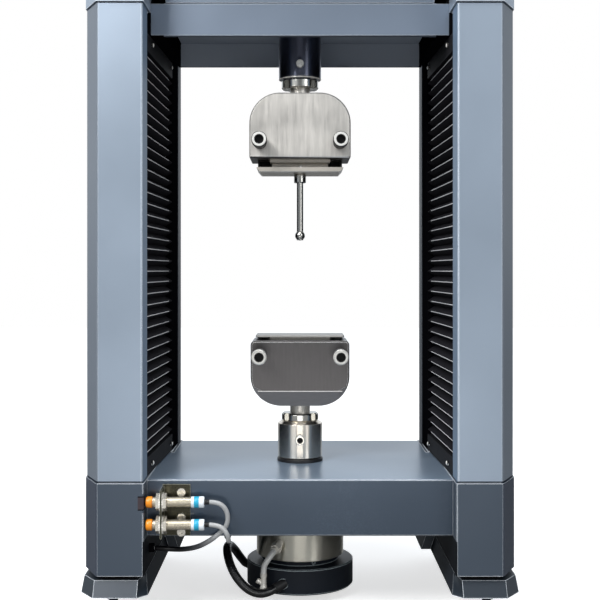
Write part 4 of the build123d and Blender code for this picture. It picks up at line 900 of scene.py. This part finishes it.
lower = bellows(
    "lower_bellows_cloth", "lower_bellows", 178.2, 632.4, 36, -110.5, 68.5, 0, 0
)
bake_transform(lower)
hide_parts("lower_bellows")
upper = bellows(
    "upper_bellows_cloth", "upper_bellows", 695.7, 736.0, 14, -91.5, 61.5, 0, 0
)
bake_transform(upper)
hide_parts("upper_bellows")

# ------------------------------------------------------------------ frame finishes
def frames_rule(centre, normal):
    # painted shadow: the frames' rear faces take near-black
    return 1 if centre.y > 69 else 0


split_piece(
    "bellows_frames", black_anodised, (shadow_black,), frames_rule, "frame",
)


# painted shade: the rear covers' inner step, facing the front, takes a dark grey copy of the cover finish
def rear_rule(centre, normal):
    return 1 if abs(centre.x) < 168 else 0


split_piece(
    "rear_covers", cover_paint, (rear_step_shade,), rear_rule, "frame"
)


def crosshead_rule(centre, normal):
    # painted shadow: the crosshead's ends beside the columns take near-black, standing in for the shade in a gap
    if abs(centre.x) > 168.5 or (abs(centre.x) > 154 and normal.y > -0.9):
        return 1
    # painted shade on the lip's downward faces, a darker, matt copy of the paint; painted light inside the
    # underside, a lighter, matt copy standing in for light from below
    if centre.z < 653 and normal.z < -0.5:
        return 3
    if -89 < centre.y < 95 and centre.z < 683:
        return 2
    return 0


split_piece(
    "crosshead_beam", crosshead_paint, (shadow_black, under_lit_paint, under_lip_shade),
    crosshead_rule, "crosshead",
    cuts=(
        ((168.5, 0, 0), (1, 0, 0)), ((-168.5, 0, 0), (1, 0, 0)),
        ((154.2, 0, 0), (1, 0, 0)), ((-154.2, 0, 0), (1, 0, 0)),
    ),
)


target_low, target_high = (v * 1000 for v in map(Vector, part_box("sensor_target")))


# painted shade: inward faces below the table take the near-black shaded paint and the outer front facets a
# darker, matt copy of the paint; around the sensor target the paint goes without its painted edge highlight
def leg_rule(centre, normal):
    inward = -normal.x if centre.x > 0 else normal.x
    if centre.z < 94.6 and inward > 0.25:
        return 1
    if (
        target_low.x - 4 < centre.x < target_high.x + 4
        and target_low.z - 4 < centre.z < target_high.z + 4
        and centre.y < target_high.y + 3
    ):
        return 2
    return 3 if inward < -0.3 and normal.y < -0.3 and abs(centre.x) > 205 else 0


split_piece(
    "leg_housings", paint, (shaded_paint, plain_paint, leg_facet_shade), leg_rule, "frame",
    cuts=(
        ((0, 0, 94.6), (0, 0, 1)),
        ((0, 0, target_low.z - 4), (0, 0, 1)),
        ((0, 0, target_high.z + 4), (0, 0, 1)),
        ((target_low.x - 4, 0, 0), (1, 0, 0)),
        ((target_high.x + 4, 0, 0), (1, 0, 0)),
    ),
)
# painted light: the table's upward faces take a lighter copy of the table paint
split_piece(
    "table_beam", table_paint, (table_top_lit_paint,),
    lambda centre, normal: 1 if normal.z > 0.9 else 0, "frame",
)


# painted shade: the covers' outer front facets and inner side faces take darker, matt copies of the cover finish
def facet_rule(centre, normal):
    inward = -normal.x if centre.x > 0 else normal.x
    if inward < -0.3 and normal.y < -0.3 and abs(centre.x) > 205:
        return 1
    return 2 if inward > 0.9 and abs(centre.x) < 172 else 0


cover_low, cover_high = (corner.z * 1000 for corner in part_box("front_covers"))


def skid_rule(centre, normal):
    inward = -normal.x if centre.x > 0 else normal.x
    return 1 if inward > 0.35 and centre.y > -125 else 0


split_piece("skid_feet", skid_paint, (skid_shade,), skid_rule, "frame")


# painted shadow: front faces within about a millimetre of the cover's ends take the dark seam shadow finish
def cover_rule(centre, normal):
    if normal.y < -0.3 and (centre.z < cover_low + 1.2 or centre.z > cover_high - 1.1):
        return 3
    return facet_rule(centre, normal)


split_piece(
    "front_covers", cover_paint, (facet_shade_paint, inner_shade_paint, seam_shadow_paint), cover_rule,
    "frame",
    cuts=(((0, 0, cover_low + 1.2), (0, 0, 1)), ((0, 0, cover_high - 1.1), (0, 0, 1)))
)

for side in (-1, 1):
    for tag, body, z in (("upper", "crosshead", 644.4), ("lower", "frame", 167.6)):
        for y in (-82.0, 57.0):
            x = 170.3 + (y + 111.5) / 181.0 * -7.0
            lathe(
                f"{tag}_bar_screw_{'l' if side < 0 else 'r'}_{'front' if y < 0 else 'rear'}",
                [(-0.6, 0), (-0.6, 3.0), (0.8, 3.0), (1.9, 2.4), (2.6, 1.3), (2.8, 0)],
                (side * x * MM, y * MM, z * MM), (-side, 0, 0), washer_steel, segments=24,
                body=body,
            )

# ------------------------------------------------------------------ sensors
for level, z in (("upper", 135.9), ("lower", 111.3)):
    base = (-0.167, -0.144, z * MM)
    way = (1, 0, 0)
    lathe(
        f"sensor_{level}_cap",
        [(0, 0), (0, 5.2), (0.6, 5.9), (1.0, 6.15), (6.0, 6.15), (6.8, 5.8), (6.9, 0)],
        base, way, orange,
    )
    thread = [(6.8, 0), (6.8, 4.6), (7.4, 5.3)]
    x = 7.6
    while x < 49.0:
        thread += [(x, 5.15), (x + 0.32, 5.72), (x + 0.5, 5.72), (x + 0.85, 5.15)]
        x += 1.0
    thread += [(49.3, 5.6), (49.3, 0)]
    lathe(
        f"sensor_{level}_barrel", thread, base, way, barrel,
        smooth=50,
    )
    lathe(
        f"sensor_{level}_collar",
        [(49.2, 0), (49.2, 6.0), (52.2, 6.1), (52.2, 0)],
        base, way, white_plastic,
    )
    lathe(
        f"sensor_{level}_window",
        [(52.2, 0), (52.2, 5.9), (52.5, 6.1), (57.3, 6.1), (57.6, 5.9), (57.6, 0)],
        base, way, cyan_plastic,
    )
    lathe(
        f"sensor_{level}_end",
        [(57.6, 0), (57.6, 6.15), (62.3, 6.15), (63.2, 5.4), (63.2, 0)],
        base, way, white_plastic,
    )
    relief = [(63.1, 0), (63.1, 3.1)]
    for k in range(4):
        x = 63.8 + k * 1.15
        relief += [(x, 3.0 - 0.1 * k), (x + 0.15, 2.6), (x + 0.55, 2.6), (x + 0.7, 2.95 - 0.1 * k)]
    relief += [(68.7, 2.5), (68.7, 0)]
    lathe(
        f"sensor_{level}_relief", relief, base, way, socket_plastic,
        smooth=50,
    )
    for k in (0, 1):
        teeth = bmesh.new()
        count, outer, inner, thick = 22, 9.9 * MM, 6.3 * MM, 1.2 * MM
        rings = []
        for depth, far, near in ((0.0, outer, inner), (thick, outer, inner)):
            rings.append(
                [
                    [
                        teeth.verts.new(
                            (r * math.cos(math.pi * i / count), r * math.sin(math.pi * i / count), depth)
                        )
                        for i in range(count * 2)
                        for r in [near if ring else (far if i % 2 else far - 1.1 * MM)]
                    ]
                    for ring in (0, 1)
                ]
            )
        (low, inner_low), (high, inner_high) = rings
        for i in range(count * 2):
            j = (i + 1) % (count * 2)
            teeth.faces.new((low[i], low[j], high[j], high[i]))
            teeth.faces.new((inner_low[j], inner_low[i], inner_high[i], inner_high[j]))
            teeth.faces.new((low[j], low[i], inner_low[i], inner_low[j]))
            teeth.faces.new((high[i], high[j], inner_high[j], inner_high[i]))
        bmesh.ops.recalc_face_normals(teeth, faces=teeth.faces)
        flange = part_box("sensor_bracket")[0].x
        washer_x = flange - 1.3 * MM if k == 0 else flange + 1.6 * MM
        teeth.transform(axis_frame((washer_x, -0.144, z * MM), way))
        washer = mesh_object(f"sensor_{level}_washer_{k}", teeth, washer_steel)
        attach(washer, "frame")
target_low, target_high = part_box("sensor_target")
spacer = 1.3 * MM
deep_side = target_high.y
bm = bmesh.new()
for grow, y_near, y_far in (
    (0.0, target_low.y, deep_side - spacer),
    (-1.6 * MM, deep_side - spacer - 0.2 * MM, deep_side),
):
    matrix = Matrix.Translation(
        (
            (target_low.x + target_high.x) / 2,
            (y_near + y_far) / 2,
            (target_low.z + target_high.z) / 2,
        )
    ) @ Matrix.Diagonal(
        (
            target_high.x - target_low.x + 2 * grow,
            y_far - y_near,
            target_high.z - target_low.z + 2 * grow,
            1,
        )
    )
    bmesh.ops.create_cube(bm, size=1.0, matrix=matrix)
target_piece = mesh_object("sensor_target_face", bm, target_brown)
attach(target_piece, "frame")
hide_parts("sensor_target")
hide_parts("proximity_sensors")


# ------------------------------------------------------------------ screws
def clamp_rule(x, z, front, shaded_face=False):
    """Bright front rim unless the face is shaded, black socket, dark body."""

    def rule(centre, normal):
        away = math.hypot(centre.x - x, centre.z - z)
        if centre.y < front + 1.4 and away > 5.2 and not shaded_face:
            return 1
        if centre.y < front + 8.0 and away < 5.7:
            return 2
        return 0

    return rule


# painted shade: the upper screws, seen from below, take a black body and a dark face without the bright rim; the
# lower ones, seen from above, take a lit grey copy
for level, z, body in (("upper", 538.8, "upper_clamp"), ("lower", 287.1, "lower_clamp")):
    for side, x in (("left", -47.3), ("right", 47.3)):
        node = f"{level}_clamp_screw_{side}"
        split_piece(
            node,
            screw_black if level == "upper" else screw_grey,
            (screw_ring, socket_black),
            clamp_rule(x, z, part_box(node)[0].y * 1000, level == "upper"), node,
        )
        front_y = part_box(node)[0].y
        radius = (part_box(node)[1].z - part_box(node)[0].z) / 2 / MM
        lathe(
            f"{node}_ring",
            [
                (-0.9, radius - 0.5), (-0.2, radius - 0.6), (0.25, radius - 1.0),
                (0.25, 5.6), (-0.9, 5.4), (-0.9, radius - 0.5),
            ],
            (x * MM, front_y, z * MM), (0, -1, 0),
            screw_ring if level == "upper" else ring_grey, body=node,
        )
        lathe(
            f"{node}_recess",
            [(-0.4, 4.6), (0.1, 4.8), (0.1, 5.7), (-0.4, 5.7), (-0.4, 4.6)],
            (x * MM, front_y, z * MM), (0, -1, 0), socket_black, body=node,
        )
for level, z in (("upper", 632.8), ("lower", 185.4)):
    node = f"{level}_cross_screw"
    split_piece(
        node, screw_ring if level == "upper" else screw_black,
        (screw_ring, bright if level == "upper" else socket_black),
        clamp_rule(0.0, z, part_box(node)[0].y * 1000), node,
    )


# ------------------------------------------------------------------ jaws and tools
def jaw_rule(low, high):
    def rule(centre, normal):
        if abs(centre.x) < 36.2 and low < centre.z < high and abs(centre.y) < 18.2:
            return 1
        # painted shade: downward faces near the jaws' lower end take a darker copy of the steel
        if normal.z < -0.6 and centre.z < low + 5:
            return 2
        return 0

    return rule


lathe(
    "upper_cross_screw_cap",
    [(-0.5, 4.6), (2.6, 4.6), (3.2, 4.1), (3.2, 2.0), (2.5, 1.8), (2.5, 0)],
    (0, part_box("upper_cross_screw")[0].y, 0.6328), (0, -1, 0), screw_ring,
    body="upper_cross_screw",
)
lathe(
    "lower_cross_screw_ring",
    [(-0.5, 5.6), (1.5, 5.6), (1.9, 5.1), (1.9, 3.5), (1.2, 3.3), (-0.5, 3.3), (-0.5, 5.6)],
    (0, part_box("lower_cross_screw")[0].y, 0.1854), (0, -1, 0), nickel,
    body="lower_cross_screw",
)
lathe(
    "adapter_chamfer_ring",
    [(-0.1, 24.6), (0.0, 25.3), (0.5, 25.7), (1.1, 25.6), (1.1, 24.6), (-0.1, 24.6)],
    (0, 0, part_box("upper_adapter")[0].z + 0.0004), (0, 0, 1), washer_steel,
    segments=96, body="crosshead",
)
split_piece(
    "lower_grip_body", lower_grip_steel, (fitting_bright, jaw_steel, under_shade_steel),
    lambda centre, normal: (
        1 if centre.z < 236 and math.hypot(centre.x, centre.y) < 13
        else (0, 2, 3)[jaw_rule(263.5, 308.0)(centre, normal)]
    ),
    "turntable",
)

# ------------------------------------------------------------------ tool finishes
split_piece(
    "upper_clamp_plate", grip_steel, (jaw_steel, under_shade_steel), jaw_rule(516.5, 560.5),
    "upper_clamp",
)
split_piece(
    "upper_grip_body", grip_steel, (jaw_steel, under_shade_steel), jaw_rule(516.5, 560.5),
    "crosshead",
)
split_piece(
    "lower_clamp_plate", lower_grip_steel, (jaw_steel, under_shade_steel),
    jaw_rule(263.5, 308.0), "lower_clamp",
)


def lower_rule(centre, normal):
    plain = jaw_rule(263.5, 308.0)(centre, normal)
    if centre.z < 255 and normal.y < -0.3 and normal.z < -0.15:
        return 3
    return plain


grip = bpy.data.objects["lower_clamp_plate_finished"]
grip.data.materials.append(lower_facet)
for face in grip.data.polygons:
    face.material_index = lower_rule(face.center * 1000, face.normal)
# painted highlight: a thin light grey strip along the lower edge of the clamp plate's flat front face
flat = [
    f for f in grip.data.polygons
    if f.normal.y < -0.99 and abs(f.center.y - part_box("lower_clamp_plate")[0].y) < 0.0005
]
if flat:
    corners = [grip.data.vertices[v].co for f in flat for v in f.vertices]
    low = min(v.z for v in corners)
    along = [v.x for v in corners if v.z < low + 0.0004]
    depth = min(v.y for v in corners)
    bm = bmesh.new()
    bmesh.ops.create_cube(
        bm, size=1.0,
        matrix=Matrix.Translation(((min(along) + max(along)) / 2, depth + 0.0004, low))
        @ Matrix.Diagonal((max(along) - min(along) + 0.012, 0.001, 0.0011, 1)),
    )
    crease_highlight_piece = mesh_object("lower_grip_crease_highlight", bm, crease_highlight)
    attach(crease_highlight_piece, "lower_clamp")


def ledge_rule(centre, normal):
    # painted shadow: the plate's rear ledge and its ends take near-black steel
    if centre.z > 510.2 and abs(centre.x) > 35 or centre.y > 18.5 and centre.z > 510.2:
        return 1
    return 0


split_piece(
    "tool_plate", jaw_steel, (dark_shadow_steel,), ledge_rule, "crosshead"
)
if "anvil_plate" in NODES:

    def anvil_rule(centre, normal):
        # painted shadow: the plate's ends and rear part below its top take near-black steel
        return 1 if centre.z < 307.55 and (abs(centre.x) > 35 or centre.y > 18) else 0

    split_piece(
        "anvil_plate", anvil_steel, (dark_shadow_steel,), anvil_rule, "turntable"
    )

# ------------------------------------------------------------------ stage
def area(name, place, aim, size, power, color=(1, 1, 1)):
    data = bpy.data.lights.new(name, "AREA")
    data.shape = "RECTANGLE"
    data.size, data.size_y = size
    data.energy = power
    data.color = color
    obj = bpy.data.objects.new(name, data)
    scene.collection.objects.link(obj)
    obj.location = place
    obj.rotation_euler = (Vector(aim) - Vector(place)).to_track_quat("-Z", "Y").to_euler()
    return obj


floor_mesh = bpy.data.meshes.new("floor")
floor_mesh.from_pydata(
    [(-6, -6, 0), (6, -6, 0), (6, 6, 0), (-6, 6, 0)], [], [(0, 1, 2, 3)]
)
floor = bpy.data.objects.new("floor", floor_mesh)
scene.collection.objects.link(floor)
floor_look = bpy.data.materials.new("floor")
floor_look.use_nodes = True
tree = floor_look.node_tree
shader = tree.nodes["Principled BSDF"]
shader.inputs["Roughness"].default_value = 0.9
rays = tree.nodes.new("ShaderNodeLightPath")
pale = tree.nodes.new("ShaderNodeMix")
pale.data_type = "RGBA"
pale.inputs["A"].default_value = (0.22, 0.22, 0.22, 1)
pale.inputs["B"].default_value = (0.85, 0.85, 0.85, 1)
tree.links.new(rays.outputs["Is Camera Ray"], pale.inputs["Factor"])
tree.links.new(pale.outputs["Result"], shader.inputs["Base Color"])
glow = tree.nodes.new("ShaderNodeMath")
glow.operation = "MULTIPLY"
glow.inputs[1].default_value = 0.62
tree.links.new(rays.outputs["Is Camera Ray"], glow.inputs[0])
shader.inputs["Emission Color"].default_value = (1, 1, 1, 1)
tree.links.new(glow.outputs["Value"], shader.inputs["Emission Strength"])
floor_mesh.materials.append(floor_look)

# Studio: white behind the object, a bright rear wall above the floor, darker front
world = bpy.data.worlds.new("studio")
scene.world = world
world.use_nodes = True
tree = world.node_tree
background = tree.nodes["Background"]
coordinate = tree.nodes.new("ShaderNodeTexCoord")
split = tree.nodes.new("ShaderNodeSeparateXYZ")
tree.links.new(coordinate.outputs["Generated"], split.inputs["Vector"])


def spread(output, low, high, first, last):
    node = tree.nodes.new("ShaderNodeMapRange")
    node.inputs["From Min"].default_value = low
    node.inputs["From Max"].default_value = high
    node.inputs["To Min"].default_value = first
    node.inputs["To Max"].default_value = last
    tree.links.new(output, node.inputs["Value"])
    return node.outputs["Result"]


def times(a, b):
    node = tree.nodes.new("ShaderNodeMath")
    node.operation = "MULTIPLY"
    tree.links.new(a, node.inputs[0])
    tree.links.new(b, node.inputs[1])
    return node.outputs["Value"]


sideways = spread(split.outputs["X"], -1.0, 1.0, 0.0, 1.0)
boxes = tree.nodes.new("ShaderNodeValToRGB")
tree.links.new(sideways, boxes.inputs["Fac"])
stops = [
    (-1.0, 0.05), (-0.955, 0.05), (-0.91, 0.75), (-0.82, 0.62), (-0.30, 0.40),
    (-0.14, 0.22), (0.14, 0.22), (0.22, 0.40), (0.36, 0.80), (0.46, 0.62),
    (0.70, 0.25), (0.78, 0.03), (0.94, 0.03), (0.965, 0.85), (0.985, 0.85), (1.0, 0.1),
]
for place, value in stops[1:-1]:
    element = boxes.color_ramp.elements.new((place + 1) / 2)
    element.color = (value, value, value, 1)
for element, (_, value) in ((boxes.color_ramp.elements[0], stops[0]), (boxes.color_ramp.elements[-1], stops[-1])):
    element.color = (value, value, value, 1)
front_light = tree.nodes.new("ShaderNodeMath")
front_light.operation = "MULTIPLY"
front_light.inputs[1].default_value = 1.1
tree.links.new(boxes.outputs["Color"], front_light.inputs[0])
rear = spread(split.outputs["Y"], 0.1, 0.75, 0.0, 1.0)
whole = tree.nodes.new("ShaderNodeMix")
whole.data_type = "FLOAT"
whole.inputs["B"].default_value = 0.95
tree.links.new(rear, whole.inputs["Factor"])
tree.links.new(front_light.outputs["Value"], whole.inputs["A"])
above = spread(split.outputs["Z"], -0.04, 0.02, 0.12, 1.0)
light = times(whole.outputs["Result"], above)
rays = tree.nodes.new("ShaderNodeLightPath")
pick = tree.nodes.new("ShaderNodeMix")
pick.data_type = "FLOAT"
pick.inputs["B"].default_value = 1.0
tree.links.new(rays.outputs["Is Camera Ray"], pick.inputs["Factor"])
tree.links.new(light, pick.inputs["A"])
tint = tree.nodes.new("ShaderNodeMix")
tint.data_type = "RGBA"
tint.inputs["A"].default_value = (0.88, 0.94, 1.0, 1)
tint.inputs["B"].default_value = (1.0, 1.0, 1.0, 1)
tree.links.new(rays.outputs["Is Camera Ray"], tint.inputs["Factor"])
tree.links.new(tint.outputs["Result"], background.inputs["Color"])
tree.links.new(pick.outputs["Result"], background.inputs["Strength"])

area("key_left", (-1.0, -1.5, 1.55), (-0.15, -0.1, 0.65), (0.8, 0.7), 35)
area("fill_right", (1.3, -1.7, 0.9), (0.1, 0, 0.4), (0.5, 1.2), 6)
area("side_left", (-1.5, -0.5, 0.5), (0, -0.1, 0.45), (0.35, 1.4), 4.5)
area("side_right", (1.5, -0.5, 0.5), (0, -0.1, 0.45), (0.35, 1.4), 3.0)
area("top", (0, -0.55, 2.0), (0, 0, 0.4), (1.6, 0.9), 26)
area("low_front", (0, -0.95, 0.12), (0, 0.05, 0.68), (0.5, 0.15), 0.9)
